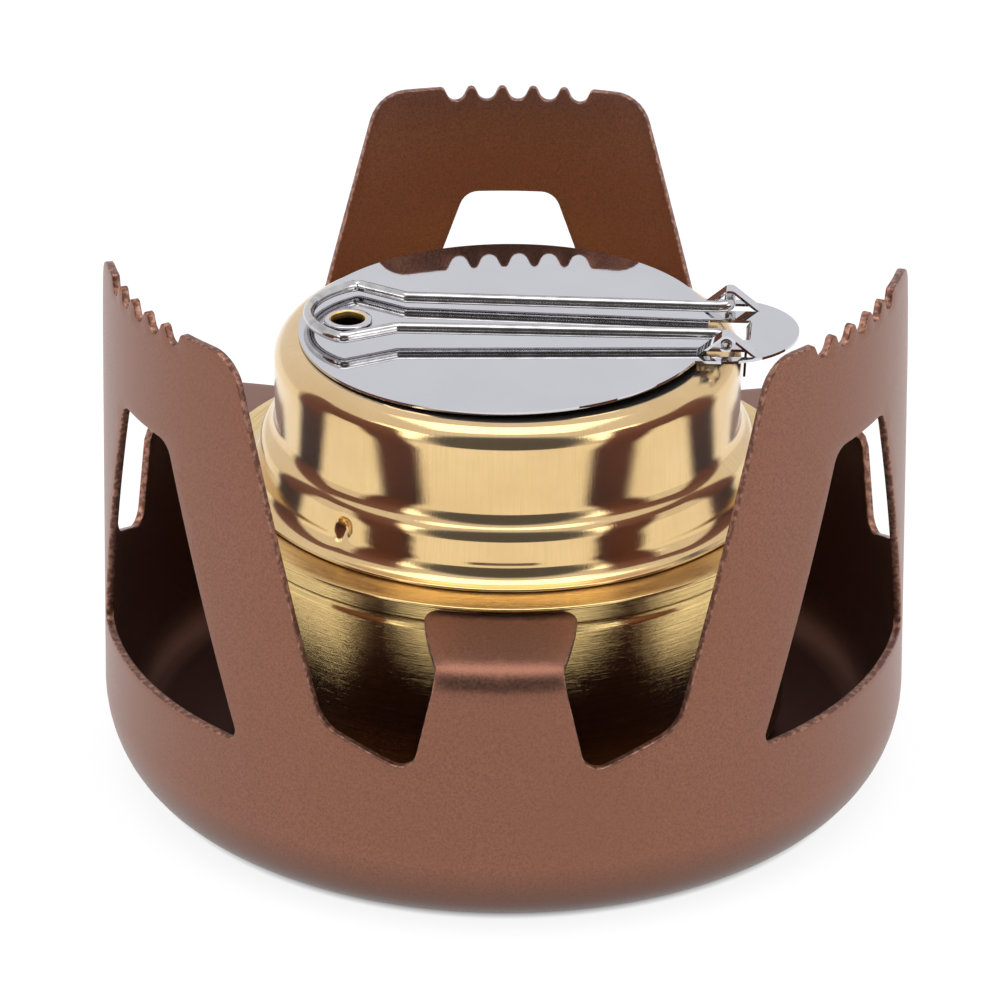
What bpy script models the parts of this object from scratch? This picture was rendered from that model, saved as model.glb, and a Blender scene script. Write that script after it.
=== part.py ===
"""Alcohol spirit stove: a sheet-metal pot stand, a brass burner, and its simmer ring with a swivel lid.

The stove stands on Z = 0 with its centre line on the Z axis. Three tall towers carry the pot: one at
the back (+Y), one front left and one front right. Three lower tabs between them are bent inward and
carry the burner. Lengths below are in millimetres; meshes are written in metres.
"""
import math

import bmesh
import bpy
from mathutils import Matrix, Vector
from mathutils.geometry import delaunay_2d_cdt

MM = 0.001

# Pot stand: one drawn cup of thin sheet, cut into towers and tabs.
SHEET = 1.0
WALL_R_FOOT = 50.2        # outer radius if the wall ran down to the floor
WALL_R_TOP = 48.5         # outer radius at the top of the towers
TOWER_TOP = 68.65
FOOT_RISE = 10.0          # the foot's rounding is taller than it is deep
FOOT_REACH = 6.5
TOWER_ANGLES = (90.0, 210.0, 330.0)
SECTOR = 120.0
PATTERN_R = 50.0          # the flat pattern's widths are measured on this radius
TOWER_HALF_TOP = 18.1
TOWER_HALF_FOOT = 30.6
TOWER_CORNER = 5.0
NOTCH_TOWER_Z = 25.4
NOTCH_TAB_X = 42.0
NOTCH_TAB_Z = 20.9
WINDOW_TOP_Z = 54.0
WINDOW_FOOT_Z = 19.6
WINDOW_HALF_TOP = 6.1
WINDOW_HALF_FOOT = 18.9
TEETH_VALLEYS = 5
TEETH_PITCH = 4.17
TEETH_SHIFT = -1.0
TEETH_DEPTH = 1.85
VALLEY_RADIUS = 1.25
CREST_RADIUS = 0.65
TAB_HALF_BEND = 7.6
TAB_HALF_END = 12.7       # on the pattern radius, so 9.2 at the shelf's own inner radius
TAB_BEND_Z = 31.87
TAB_BEND_RADIUS = 2.8
TAB_BEND_ANGLE = math.radians(85.0)     # the shelf climbs 5 degrees towards the burner
TAB_INNER_R = 36.2
WALL_FROM_Z = 14.0
STAND_SEGMENTS = 72
PATTERN_STEP = 4.6
EDGE_STEP = 4.4
BEND_LENGTH = (TAB_BEND_RADIUS - SHEET / 2.0) * TAB_BEND_ANGLE

# Burner, hung by its rolled bead on the three tabs.
BURNER_X = 0.3            # the burner sits this far off the stand's centre
BRASS = 0.8
BURNER_FOOT_Z = 3.0
BURNER_R = 35.2
BAND_R = 35.5
BEAD_R = 36.9
BEAD_UNDER_Z = 35.95
LEDGE_Z = 36.45
SEAM_R = 32.5
NECK_R = 26.8
NECK_TOP_Z = 42.5
BOWL_R = 21.7
JET_COUNT = 24
JET_CIRCLE_R = 28.9
JET_R = 0.7
CLEAR = 0.3
LATHE_SEGMENTS = 48

# Simmer ring: a brass cap with a wide skirt that rests on the burner's ledge.
RING_SHEET = 0.7
RING_FOOT_Z = LEDGE_Z + CLEAR
RING_FOOT_R = 32.75
SKIRT_R = 30.65
CAP_R = 28.5
ROOF_Z = 55.05
SHOULDER = 3.0
OPENING_R = 14.8
FLARE_R = 2.3
FLARE_TOP_Z = 39.2
SKIRT_LEAN = 0.27         # how much the skirt narrows up to the step
STEP_FOOT_Z = 41.3
STEP_TOP_Z = 45.1

# Swivel lid: mirror-bright plate, hollow rivet, washer and folding wire.
LID_CENTRE = (0.0, 0.4)
LID_TURN = -3.7           # degrees about Z
LID_TILT = 0.86           # degrees: the thumb end sits a little higher
PLATE_R = 25.2
PLATE_SHEET = 0.4
PIVOT_X = -19.3
THUMB_R = 9.3
THUMB_X = 26.4
PIVOT_HOLE_R = 2.65
RIVET_R = 2.35
RIVET_BORE_R = 2.1
EAR_X = 27.1
EAR_HALF_SPAN = 3.6
EAR_INNER = 5.7
EAR_OUTER = 7.9
EAR_RISE = 2.9
CUTOUT_FROM = 24.6
CUTOUT_TO = 29.9
CUTOUT_HALF = 2.9
TONGUE_LENGTH = 5.0
HINGE_Z = 1.25
WIRE_R = 0.7
WIRE_SIDES = 8


def clear_scene():
    """Remove every object, so that the model starts empty."""
    for old in list(bpy.data.objects):
        bpy.data.objects.remove(old, do_unlink=True)


def make_material(name, colour, metallic, roughness):
    """A Principled material with one colour."""
    mat = bpy.data.materials.new(name)
    mat.use_nodes = True
    shader = mat.node_tree.nodes["Principled BSDF"]
    shader.inputs["Base Color"].default_value = (*colour, 1.0)
    shader.inputs["Metallic"].default_value = metallic
    shader.inputs["Roughness"].default_value = roughness
    return mat


def add_object(name, verts, faces, mat, parent=None):
    """Make one closed object from millimetre points, faces turned outward and shaded smooth."""
    mesh = bpy.data.meshes.new(name)
    mesh.from_pydata([Vector(v) * MM for v in verts], [], faces)
    work = bmesh.new()
    work.from_mesh(mesh)
    bmesh.ops.recalc_face_normals(work, faces=work.faces)
    work.to_mesh(mesh)
    work.free()
    mesh.materials.append(mat)
    mesh.shade_smooth()
    mesh.set_sharp_from_angle(angle=math.radians(35.0))
    made = bpy.data.objects.new(name, mesh)
    bpy.context.scene.collection.objects.link(made)
    made.parent = parent
    return made


def add_empty(name, place, turn=(0.0, 0.0, 0.0), parent=None):
    """An empty at a joint or a seat; place in millimetres, turn in degrees."""
    made = bpy.data.objects.new(name, None)
    bpy.context.scene.collection.objects.link(made)
    made.parent = parent
    made.location = Vector(place) * MM
    made.rotation_euler = [math.radians(a) for a in turn]
    return made


def boolean(target, tool, operation):
    """Join or cut target with tool, and leave the tool hidden as a guide."""
    step = target.modifiers.new(operation.lower() + "_" + tool.name, "BOOLEAN")
    step.operation = operation
    step.solver = "EXACT"
    step.object = tool
    tool.hide_render = True
    tool.display_type = "WIRE"


def arc(centre, radius, start, end, count):
    """Points on an arc from start to end, in degrees, both ends included."""
    points = []
    for i in range(count + 1):
        a = math.radians(start + (end - start) * i / count)
        points.append((centre[0] + radius * math.cos(a), centre[1] + radius * math.sin(a)))
    return points


def rounded(corners, count=4):
    """Round each (x, y, radius) corner of an open line; its two end points stay as they are."""
    points = [corners[0][:2]]
    for before, corner, after in zip(corners, corners[1:], corners[2:]):
        here = Vector(corner[:2])
        back = (Vector(before[:2]) - here).normalized()
        ahead = (Vector(after[:2]) - here).normalized()
        half = back.angle(ahead) / 2.0
        if corner[2] <= 0.0 or half > math.radians(89.0):
            points.append(tuple(here))
            continue
        reach = corner[2] / math.tan(half)
        centre = here + (back + ahead).normalized() * (corner[2] / math.sin(half))
        first = here + back * reach - centre
        turn = first.angle_signed(here + ahead * reach - centre)
        for i in range(count + 1):
            spoke = Matrix.Rotation(-turn * i / count, 2) @ first
            points.append(tuple(centre + spoke))
    points.append(corners[-1][:2])
    return points


def lathe(name, section, mat, parent=None, segments=LATHE_SEGMENTS):
    """Turn a closed (radius, height) section round the Z axis."""
    verts = []
    rings = []
    for radius, height in section:
        if radius < 1e-6:
            verts.append((0.0, 0.0, height))
            rings.append([len(verts) - 1] * segments)
            continue
        rings.append([len(verts) + i for i in range(segments)])
        for i in range(segments):
            a = 2.0 * math.pi * i / segments
            verts.append((radius * math.cos(a), radius * math.sin(a), height))
    faces = []
    for low, high in zip(rings, rings[1:] + rings[:1]):
        for i in range(segments):
            j = (i + 1) % segments
            face = []
            for v in (low[i], low[j], high[j], high[i]):
                if v not in face:
                    face.append(v)
            if len(face) > 2:
                faces.append(face)
    return add_object(name, verts, faces, mat, parent)


def extrude(name, outline, low, high, mat, parent=None):
    """A prism of a closed outline between two heights."""
    count = len(outline)
    verts = [(x, y, low) for x, y in outline] + [(x, y, high) for x, y in outline]
    faces = [list(range(count)), list(range(count, 2 * count))]
    for i in range(count):
        j = (i + 1) % count
        faces.append([i, j, count + j, count + i])
    return add_object(name, verts, faces, mat, parent)


def circle(centre, radius, count):
    """A closed circle of points."""
    return arc(centre, radius, 0.0, 360.0 - 360.0 / count, count - 1)


# ---------------------------------------------------------------------------------------------
# Pot stand

def stand_point(phi, v, depth):
    """Place a pattern point on the cup; depth is measured from the outer face, into the sheet.

    v is the height on the wall. Above the bend it runs inward along a tab's shelf, from 0 to the
    rounding's height it runs round the foot, and below 0 it runs inward along the floor.
    """
    floor_r = wall_radius(FOOT_RISE) - FOOT_REACH
    bend_centre = wall_radius(TAB_BEND_Z) - TAB_BEND_RADIUS
    on_tab = v > TAB_BEND_Z and abs(abs(phi) - SECTOR / 2.0) < 20.0
    if on_tab:
        a = min(1.0, (v - TAB_BEND_Z) / BEND_LENGTH) * TAB_BEND_ANGLE
        beyond = max(0.0, v - TAB_BEND_Z - BEND_LENGTH)
        radius = bend_centre + (TAB_BEND_RADIUS - depth) * math.cos(a) - beyond * math.sin(a)
        height = TAB_BEND_Z + (TAB_BEND_RADIUS - depth) * math.sin(a) + beyond * math.cos(a)
    elif v >= FOOT_RISE:
        radius = wall_radius(v) - depth
        height = v
    elif v >= 0.0:
        a = (1.0 - v / FOOT_RISE) * math.pi / 2.0
        radius = floor_r + (FOOT_REACH - depth) * math.cos(a)
        height = FOOT_RISE - (FOOT_RISE - depth) * math.sin(a)
    else:
        radius = floor_r + v
        height = depth
    return radius, height


def wall_radius(z):
    """Outer radius of the stand's wall, which leans inward a little towards the top."""
    return WALL_R_FOOT + (WALL_R_TOP - WALL_R_FOOT) * z / TOWER_TOP


def tab_end_v():
    """Pattern height at which a tab's shelf reaches its inner radius."""
    bend_end_r = wall_radius(TAB_BEND_Z) - TAB_BEND_RADIUS * (1.0 - math.cos(TAB_BEND_ANGLE))
    return TAB_BEND_Z + BEND_LENGTH + (bend_end_r - TAB_INNER_R) / math.sin(TAB_BEND_ANGLE)


def teeth_line():
    """The toothed stretch of a tower's top edge, from its right end to its left."""
    crest_z = TOWER_TOP - CREST_RADIUS
    valley_z = TOWER_TOP - TEETH_DEPTH + VALLEY_RADIUS
    apart = math.hypot(TEETH_PITCH / 2.0, valley_z - crest_z)
    flank = math.acos((CREST_RADIUS + VALLEY_RADIUS) / apart)
    lean = math.degrees(flank + math.atan2(valley_z - crest_z, TEETH_PITCH / 2.0))
    first = TEETH_SHIFT + (TEETH_VALLEYS - 1) / 2.0 * TEETH_PITCH
    points = arc((first + TEETH_PITCH / 2.0, crest_z), CREST_RADIUS, 90.0, 180.0 - lean, 2)
    for i in range(TEETH_VALLEYS):
        centre = first - i * TEETH_PITCH
        points += arc((centre, valley_z), VALLEY_RADIUS, -lean, lean - 180.0, 5)
        last = 90.0 if i == TEETH_VALLEYS - 1 else 180.0 - lean
        points += arc((centre - TEETH_PITCH / 2.0, crest_z), CREST_RADIUS, lean, last, 4)
    return points


def sector_outline():
    """One tower with half a tab on each side, as a closed flat outline."""
    tab_x = math.radians(SECTOR / 2.0) * PATTERN_R
    end_v = tab_end_v()
    side = rounded([
        (tab_x, end_v, 0.0),
        (tab_x - TAB_HALF_END, end_v, 1.8),
        (tab_x - TAB_HALF_BEND, TAB_BEND_Z + 0.6 * BEND_LENGTH, 3.0),
        (tab_x - TAB_HALF_BEND - 0.3, TAB_BEND_Z, 0.0),
        (NOTCH_TAB_X, NOTCH_TAB_Z, 2.2),
        (TOWER_HALF_FOOT, NOTCH_TOWER_Z, 5.0),
        (TOWER_HALF_TOP, TOWER_TOP, TOWER_CORNER),
        (0.0, TOWER_TOP, 0.0)])[:-1]
    steps = STAND_SEGMENTS // len(TOWER_ANGLES)
    floor_line = [(-tab_x + 2.0 * tab_x * i / steps, WALL_FROM_Z) for i in range(steps + 1)]
    wall_rows = [WALL_FROM_Z + (TAB_BEND_Z - WALL_FROM_Z) * i / 4.0 for i in range(1, 4)]
    rise = wall_rows + tab_rows()[:-1]
    right = [(tab_x, v) for v in rise]
    left = [(-tab_x, v) for v in reversed(rise)]
    mirror = [(-x, v) for x, v in reversed(side)]
    return floor_line + right + side + teeth_line() + mirror + left


def window_outline():
    """The trapezoid window of a tower, as a closed flat outline."""
    middle = (0.0, WINDOW_FOOT_Z, 0.0)
    half = rounded([
        middle,
        (WINDOW_HALF_FOOT, WINDOW_FOOT_Z, 1.3),
        (WINDOW_HALF_TOP, WINDOW_TOP_Z, 2.6),
        (0.0, WINDOW_TOP_Z, 0.0)])
    mirror = [(-x, v) for x, v in reversed(half)]
    return half + mirror[1:-1]


def subdivided(outline, step):
    """The closed outline with its long straight stretches cut into pieces no longer than step."""
    points = []
    for (x1, y1), (x2, y2) in zip(outline, outline[1:] + outline[:1]):
        pieces = max(1, math.ceil(math.dist((x1, y1), (x2, y2)) / step - 1e-6))
        points += [(x1 + (x2 - x1) * i / pieces, y1 + (y2 - y1) * i / pieces) for i in range(pieces)]
    return points


def tab_rows():
    """Pattern heights across a tab's bend and along its shelf."""
    bend = [TAB_BEND_Z + BEND_LENGTH * i / 4.0 for i in range(5)]
    shelf = [bend[-1] + (tab_end_v() - bend[-1]) * i / 3.0 for i in range(1, 4)]
    return bend + shelf


def inside(point, outline):
    """True if a flat point lies inside a closed outline."""
    x, y = point
    result = False
    for (x1, y1), (x2, y2) in zip(outline, outline[1:] + outline[:1]):
        if (y1 > y) != (y2 > y) and x < (x2 - x1) * (y - y1) / (y2 - y1) + x1:
            result = not result
    return result


def near(point, outline, distance):
    """True if a flat point is closer than distance to any corner of the outline."""
    return any(math.dist(point, other) < distance for other in outline)


def sector_mesh():
    """Triangulate one sector of the flat pattern."""
    outline = subdivided(sector_outline(), EDGE_STEP)
    window = subdivided(window_outline(), EDGE_STEP)
    points = outline + window
    edges = []
    for start, count in ((0, len(outline)), (len(outline), len(window))):
        edges += [(start + i, start + (i + 1) % count) for i in range(count)]
    columns = int(2.0 * PATTERN_R * math.radians(SECTOR / 2.0) / PATTERN_STEP)
    rows = int((TOWER_TOP - WALL_FROM_Z) / PATTERN_STEP)
    for row in range(1, rows):
        for column in range(columns + 1):
            x = (column - columns / 2.0 + 0.5 * (row % 2)) * PATTERN_STEP
            spot = (x, WALL_FROM_Z + row * PATTERN_STEP)
            if not inside(spot, outline) or inside(spot, window):
                continue
            if spot[1] > TAB_BEND_Z - 1.0 and abs(spot[0]) > NOTCH_TAB_X:
                continue
            if not near(spot, points, 0.55 * PATTERN_STEP):
                points.append(spot)
    tab_x = math.radians(SECTOR / 2.0) * PATTERN_R
    for v in tab_rows():
        for part in (1.0 / 3.0, 2.0 / 3.0):
            for side in (-1.0, 1.0):
                points.append((side * (tab_x - TAB_HALF_BEND * part), v))
    flat, _, triangles, _, _, _ = delaunay_2d_cdt([Vector(p) for p in points], edges, [], 0, 1e-5)
    kept = []
    for corners in triangles:
        middle = sum((flat[i] for i in corners), Vector((0.0, 0.0))) / 3.0
        if inside(middle, outline) and not inside(middle, window):
            kept.append(list(corners))
    return [tuple(p) for p in flat], kept


def build_pot_stand(mat):
    """The drawn cup: floor, foot, three towers with windows, three bent tabs."""
    places = {}
    pattern = []

    def index(phi, v):
        if v <= floor_end:
            phi = 0.0
        key = (round(phi % 360.0, 4) % 360.0, round(v, 4))
        if key not in places:
            places[key] = len(pattern)
            pattern.append((phi, v, local))
        return places[key]

    floor_end = FOOT_REACH - wall_radius(FOOT_RISE)
    flat, triangles = sector_mesh()
    faces = []
    for tower in TOWER_ANGLES:
        numbers = []
        for x, v in flat:
            local = math.degrees(x / PATTERN_R)
            numbers.append(index(tower + local, v))
        faces += [[numbers[i] for i in corners] for corners in triangles]
    local = 0.0
    rows = [floor_end, floor_end / 2.0, 0.0]
    rows += [FOOT_RISE * i / 4.0 for i in range(1, 5)] + [WALL_FROM_Z]
    step = 360.0 / STAND_SEGMENTS
    first = TOWER_ANGLES[0] - SECTOR / 2.0
    for low, high in zip(rows, rows[1:]):
        for i in range(STAND_SEGMENTS):
            a = first + i * step
            face = []
            for phi, v in ((a, low), (a + step, low), (a + step, high), (a, high)):
                number = index(phi, v)
                if number not in face:
                    face.append(number)
            faces.append(face)
    verts = []
    for depth in (0.0, SHEET):
        for phi, v, offset in pattern:
            radius, height = stand_point(offset, v, depth)
            a = math.radians(phi)
            verts.append((radius * math.cos(a), radius * math.sin(a), height))
    count = len(pattern)
    used = {}
    for face in faces:
        for pair in zip(face, face[1:] + face[:1]):
            used[tuple(sorted(pair))] = used.get(tuple(sorted(pair)), 0) + 1
    solid = faces + [[i + count for i in reversed(face)] for face in faces]
    for (i, j), uses in used.items():
        if uses == 1:
            solid.append([i, j, j + count, i + count])
    return add_object("pot_stand", verts, solid, mat)


# ---------------------------------------------------------------------------------------------
# Burner

def build_burner_cup(mat, parent):
    """Outer brass cup: floor, wall, rolled bead, and the lip folded in over the collar."""
    wall_foot_r = BURNER_R - 0.4
    outer = [(0.0, BURNER_FOOT_Z)]
    outer += arc((wall_foot_r - 4.0, BURNER_FOOT_Z + 4.0), 4.0, -90.0, 0.0, 3)
    outer += [
        (BURNER_R, 32.2), (BURNER_R - 0.35, 32.6), (BURNER_R - 0.35, 33.0), (BAND_R, 33.3),
        (BAND_R, BEAD_UNDER_Z - 0.1), (BEAD_R - 0.3, BEAD_UNDER_Z), (BEAD_R, BEAD_UNDER_Z + 0.2),
        (BEAD_R - 0.3, LEDGE_Z - 0.1), (BEAD_R - 0.8, LEDGE_Z)]
    inner = [(SEAM_R, LEDGE_Z), (SEAM_R, LEDGE_Z - 0.5), (BAND_R - BRASS, LEDGE_Z - 0.5)]
    inner += [(BAND_R - BRASS, 33.0), (BURNER_R - 0.35 - BRASS, 32.0)]
    inner += arc((wall_foot_r - 4.0, BURNER_FOOT_Z + 4.0), 4.0 - BRASS, 0.0, -90.0, 3)
    inner += [(0.0, BURNER_FOOT_Z + BRASS)]
    return lathe("burner_cup", outer + inner, mat, parent)


def build_burner_collar(mat, parent):
    """Inner brass piece: ledge with the jets, threaded neck, rim, and the bowl's wall."""
    ledge_r = BAND_R - BRASS - CLEAR
    under_lip = LEDGE_Z - 0.5 - CLEAR
    seam_r = SEAM_R - CLEAR
    outer = [(ledge_r, under_lip - BRASS), (ledge_r, under_lip), (seam_r, under_lip)]
    outer += [(seam_r, LEDGE_Z), (NECK_R + 0.4, LEDGE_Z)]
    threads = 3
    pitch = 1.5
    for turn in range(threads):
        low = LEDGE_Z + 0.5 + turn * pitch
        outer += [(NECK_R - 0.35, low), (NECK_R, low + pitch / 2.0)]
    outer += [(NECK_R - 0.35, LEDGE_Z + 0.5 + threads * pitch)]
    outer += [(NECK_R - 0.5, NECK_TOP_Z - 0.4), (NECK_R - 1.1, NECK_TOP_Z), (BOWL_R + 0.5, NECK_TOP_Z)]
    outer += [(BOWL_R, NECK_TOP_Z - 0.5), (BOWL_R, BURNER_FOOT_Z + 2.5)]
    inner = [(BOWL_R + BRASS, BURNER_FOOT_Z + 2.5), (BOWL_R + BRASS, NECK_TOP_Z - BRASS)]
    inner += [(NECK_R - 0.35 - BRASS, NECK_TOP_Z - BRASS), (NECK_R - 0.35 - BRASS, LEDGE_Z - BRASS)]
    inner += [(seam_r - BRASS, LEDGE_Z - BRASS), (seam_r - BRASS, under_lip - BRASS)]
    collar = lathe("burner_collar", outer + inner, mat, parent)
    verts = []
    faces = []
    sides = 8
    for jet in range(JET_COUNT):
        a = 2.0 * math.pi * (jet + 0.5) / JET_COUNT
        centre = (JET_CIRCLE_R * math.cos(a), JET_CIRCLE_R * math.sin(a))
        ring = circle(centre, JET_R, sides)
        base = len(verts)
        verts += [(x, y, LEDGE_Z - 2.0) for x, y in ring] + [(x, y, LEDGE_Z + 1.0) for x, y in ring]
        faces += [list(range(base, base + sides)), list(range(base + sides, base + 2 * sides))]
        for i in range(sides):
            j = (i + 1) % sides
            faces.append([base + i, base + j, base + sides + j, base + sides + i])
    jets = add_object("jet_cutter", verts, faces, mat, parent)
    boolean(collar, jets, "DIFFERENCE")
    return collar


def build_wick(mat, parent):
    """Cotton ring packed between the cup's wall and the bowl's wall."""
    inner_r = BOWL_R + BRASS + CLEAR
    outer_r = BURNER_R - 0.4 - BRASS - CLEAR - 0.1
    foot = BURNER_FOOT_Z + BRASS + CLEAR
    section = [(inner_r, foot), (outer_r - 3.0, foot), (outer_r, foot + 4.0), (outer_r, 30.0), (inner_r, 30.0)]
    return lathe("wick", section, mat, parent)


# ---------------------------------------------------------------------------------------------
# Simmer ring and lid

def step_curve(depth):
    """The S-curve between skirt and cap wall, on the sheet's outer side or depth inside it."""
    foot_r = SKIRT_R - SKIRT_LEAN
    bend = math.degrees(2.0 * math.atan2(foot_r - CAP_R, STEP_TOP_Z - STEP_FOOT_Z))
    radius = (STEP_TOP_Z - STEP_FOOT_Z) / 2.0 / math.sin(math.radians(bend))
    lower = arc((foot_r - radius, STEP_FOOT_Z), radius - depth, 0.0, bend, 3)
    upper = arc((CAP_R + radius, STEP_TOP_Z), radius + depth, 180.0 + bend, 180.0, 3)
    return lower + upper[1:]


def build_regulator_ring(mat, parent, pivot):
    """Brass simmer ring: flared foot, skirt, step, cap wall, rounded shoulder, roof with opening."""
    outer = [(RING_FOOT_R - 0.25, RING_FOOT_Z), (RING_FOOT_R, RING_FOOT_Z + 0.15)]
    outer += arc((SKIRT_R + FLARE_R, FLARE_TOP_Z), FLARE_R, 258.0, 180.0, 4)
    outer += step_curve(0.0)
    outer += arc((CAP_R - SHOULDER, ROOF_Z - SHOULDER), SHOULDER, 0.0, 90.0, 4)
    outer += [(OPENING_R + 0.7, ROOF_Z), (OPENING_R, ROOF_Z - 0.6), (OPENING_R, ROOF_Z - 1.8)]
    sheet = RING_SHEET
    inner = [(OPENING_R + sheet, ROOF_Z - 1.8), (OPENING_R + sheet, ROOF_Z - sheet)]
    inner += arc((CAP_R - SHOULDER, ROOF_Z - SHOULDER), SHOULDER - sheet, 90.0, 0.0, 3)
    inner += step_curve(sheet)[::-1]
    inner += arc((SKIRT_R + FLARE_R, FLARE_TOP_Z), FLARE_R + sheet, 180.0, 234.0, 3)
    ring = lathe("regulator_ring", outer + inner, mat, parent)
    local = (pivot[0] - BURNER_X, pivot[1])
    hole = extrude("ring_hole_cutter", circle(local, PIVOT_HOLE_R, 20), ROOF_Z - 2.0, ROOF_Z + 2.0, mat, parent)
    boolean(ring, hole, "DIFFERENCE")
    return ring


def build_pivot(mats, parent):
    """Hollow rivet and washer that hold the lid on the ring's roof; the rivet's axis is local Z."""
    head = [(RIVET_BORE_R, ROOF_Z + 1.15), (RIVET_R, ROOF_Z + 1.3), (2.8, ROOF_Z + 1.3)]
    head += [(3.0, ROOF_Z + 1.15), (2.95, ROOF_Z + 1.0), (RIVET_R, ROOF_Z + 1.0)]
    foot = [(RIVET_R, ROOF_Z - 1.85), (3.05, ROOF_Z - 1.85), (3.05, ROOF_Z - 2.2)]
    foot += [(RIVET_BORE_R, ROOF_Z - 2.2)]
    eyelet = lathe("pivot_eyelet", head + foot, mats["steel"], parent, 24)
    low = ROOF_Z - RING_SHEET - CLEAR - 0.5
    section = [(PIVOT_HOLE_R, low), (3.8, low), (3.8, low + 0.5), (PIVOT_HOLE_R, low + 0.5)]
    washer = lathe("pivot_washer", section, mats["brass"], parent, 24)
    return eyelet, washer


def plate_outline():
    """Lid outline: a disc with a round-ended thumb tab."""
    meet = math.degrees(math.asin(THUMB_R / PLATE_R))
    return arc((0.0, 0.0), PLATE_R, meet, 360.0 - meet, 52) + arc((THUMB_X, 0.0), THUMB_R, -90.0, 90.0, 14)


def ribbon(name, path, thickness, low_y, high_y, mat, parent):
    """A bent strip: path is (x, z) along its middle, the strip runs from low_y to high_y."""
    above = []
    below = []
    for i, here in enumerate(path):
        before = Vector(path[max(i - 1, 0)])
        after = Vector(path[min(i + 1, len(path) - 1)])
        along = (after - before).normalized()
        normal = Vector((-along.y, along.x)) * thickness / 2.0
        above.append(Vector(here) + normal)
        below.append(Vector(here) - normal)
    loop = above + below[::-1]
    count = len(loop)
    verts = [(p.x, low_y, p.y) for p in loop] + [(p.x, high_y, p.y) for p in loop]
    faces = []
    for i in range(len(path) - 1):
        j = count - 1 - i
        faces.append([i, i + 1, j - 1, j])
        faces.append([count + i, count + i + 1, count + j - 1, count + j])
    for i in range(count):
        j = (i + 1) % count
        faces.append([i, j, count + j, count + i])
    return add_object(name, verts, faces, mat, parent)


def build_damper_plate(mat, parent):
    """Bright steel lid: thumb tab, pivot hole, two lanced ears, and a tongue bent down."""
    plate = extrude("damper_plate", plate_outline(), -PLATE_SHEET, 0.0, mat, parent)
    middle = -PLATE_SHEET / 2.0
    cutters = [circle((PIVOT_X, 0.0), PIVOT_HOLE_R, 20)]
    cutters.append([
        (CUTOUT_FROM, -CUTOUT_HALF), (CUTOUT_TO, -CUTOUT_HALF),
        (CUTOUT_TO, CUTOUT_HALF), (CUTOUT_FROM, CUTOUT_HALF)])
    for low, high in ((EAR_INNER, EAR_OUTER), (-EAR_OUTER, -EAR_INNER)):
        start = EAR_X - EAR_HALF_SPAN
        end = EAR_X + EAR_HALF_SPAN
        cutters.append([(start, low), (end, low), (end, high), (start, high)])
    for number, outline in enumerate(cutters):
        tool = extrude("plate_cutter_%d" % number, outline, -2.0, 2.0, mat, parent)
        boolean(plate, tool, "DIFFERENCE")
    start = EAR_X - EAR_HALF_SPAN
    end = EAR_X + EAR_HALF_SPAN
    top = EAR_RISE - PLATE_SHEET / 2.0
    half_path = [(start - 0.4, middle), (start + 0.1, middle + 0.05), (EAR_X - 0.5, top - 0.15)]
    other_half = [(EAR_X + 0.5, top - 0.15), (end - 0.1, middle + 0.05), (end + 0.4, middle)]
    path = half_path + [(EAR_X, top)] + other_half
    for number, side in enumerate((1.0, -1.0)):
        edges = sorted((side * (EAR_INNER + 0.1), side * (EAR_OUTER - 0.1)))
        ear = ribbon("ear_%d" % number, path, 0.36, edges[0], edges[1], mat, parent)
        boolean(plate, ear, "UNION")
    fold = arc((CUTOUT_TO, -1.0), 0.75, 90.0, 180.0, 3)
    drop = [(CUTOUT_TO + 0.5, middle)] + fold + [(CUTOUT_TO - 0.75, -TONGUE_LENGTH)]
    tongue = ribbon("tongue", drop, 0.36, -CUTOUT_HALF + 0.3, CUTOUT_HALF - 0.3, mat, parent)
    boolean(plate, tongue, "UNION")
    return plate


def wire_path():
    """Middle line of the folded wire in the lid's frame, from its near end round to its far end."""
    near_side = [
        (EAR_X, -EAR_OUTER + 0.4, HINGE_Z), (EAR_X, -5.3, HINGE_Z), (EAR_X - 0.4, -4.45, HINGE_Z),
        (EAR_X - 1.4, -4.1, HINGE_Z), (7.0, -4.75, 1.5), (-12.0, -5.3, 1.72), (-13.6, -5.8, 1.74)]
    loop = []
    for x, y in arc((-13.9, 0.0), 10.1, 240.0, 120.0, 12):
        loop.append((x, y, 1.4 - 0.36 * y / 10.1))
    far_side = [
        (-13.6, 5.8, 1.05), (-12.0, 5.3, 1.03), (7.0, 4.75, 1.08), (EAR_X - 1.4, 4.1, HINGE_Z),
        (EAR_X - 0.4, 4.45, HINGE_Z), (EAR_X, 5.3, HINGE_Z), (EAR_X, EAR_OUTER - 0.4, HINGE_Z)]
    return near_side + loop + far_side


def build_wire_handle(mat, parent):
    """Bent wire handle; its object's origin lies on the hinge line through the two ears."""
    path = [Vector(p) - Vector((EAR_X, 0.0, HINGE_Z)) for p in wire_path()]
    verts = []
    up = Vector((0.0, 0.0, 1.0))
    for i, here in enumerate(path):
        along = (path[min(i + 1, len(path) - 1)] - path[max(i - 1, 0)]).normalized()
        across = along.cross(up).normalized()
        rise = across.cross(along)
        for k in range(WIRE_SIDES):
            a = 2.0 * math.pi * (k + 0.5) / WIRE_SIDES
            verts.append(here + (across * math.cos(a) + rise * math.sin(a)) * WIRE_R)
    last = len(path) - 1
    faces = [list(range(WIRE_SIDES)), [last * WIRE_SIDES + k for k in range(WIRE_SIDES)]]
    for i in range(last):
        for k in range(WIRE_SIDES):
            n = (k + 1) % WIRE_SIDES
            low = i * WIRE_SIDES
            high = low + WIRE_SIDES
            faces.append([low + k, low + n, high + n, high + k])
    return add_object("wire_handle", verts, faces, mat, parent)


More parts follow.
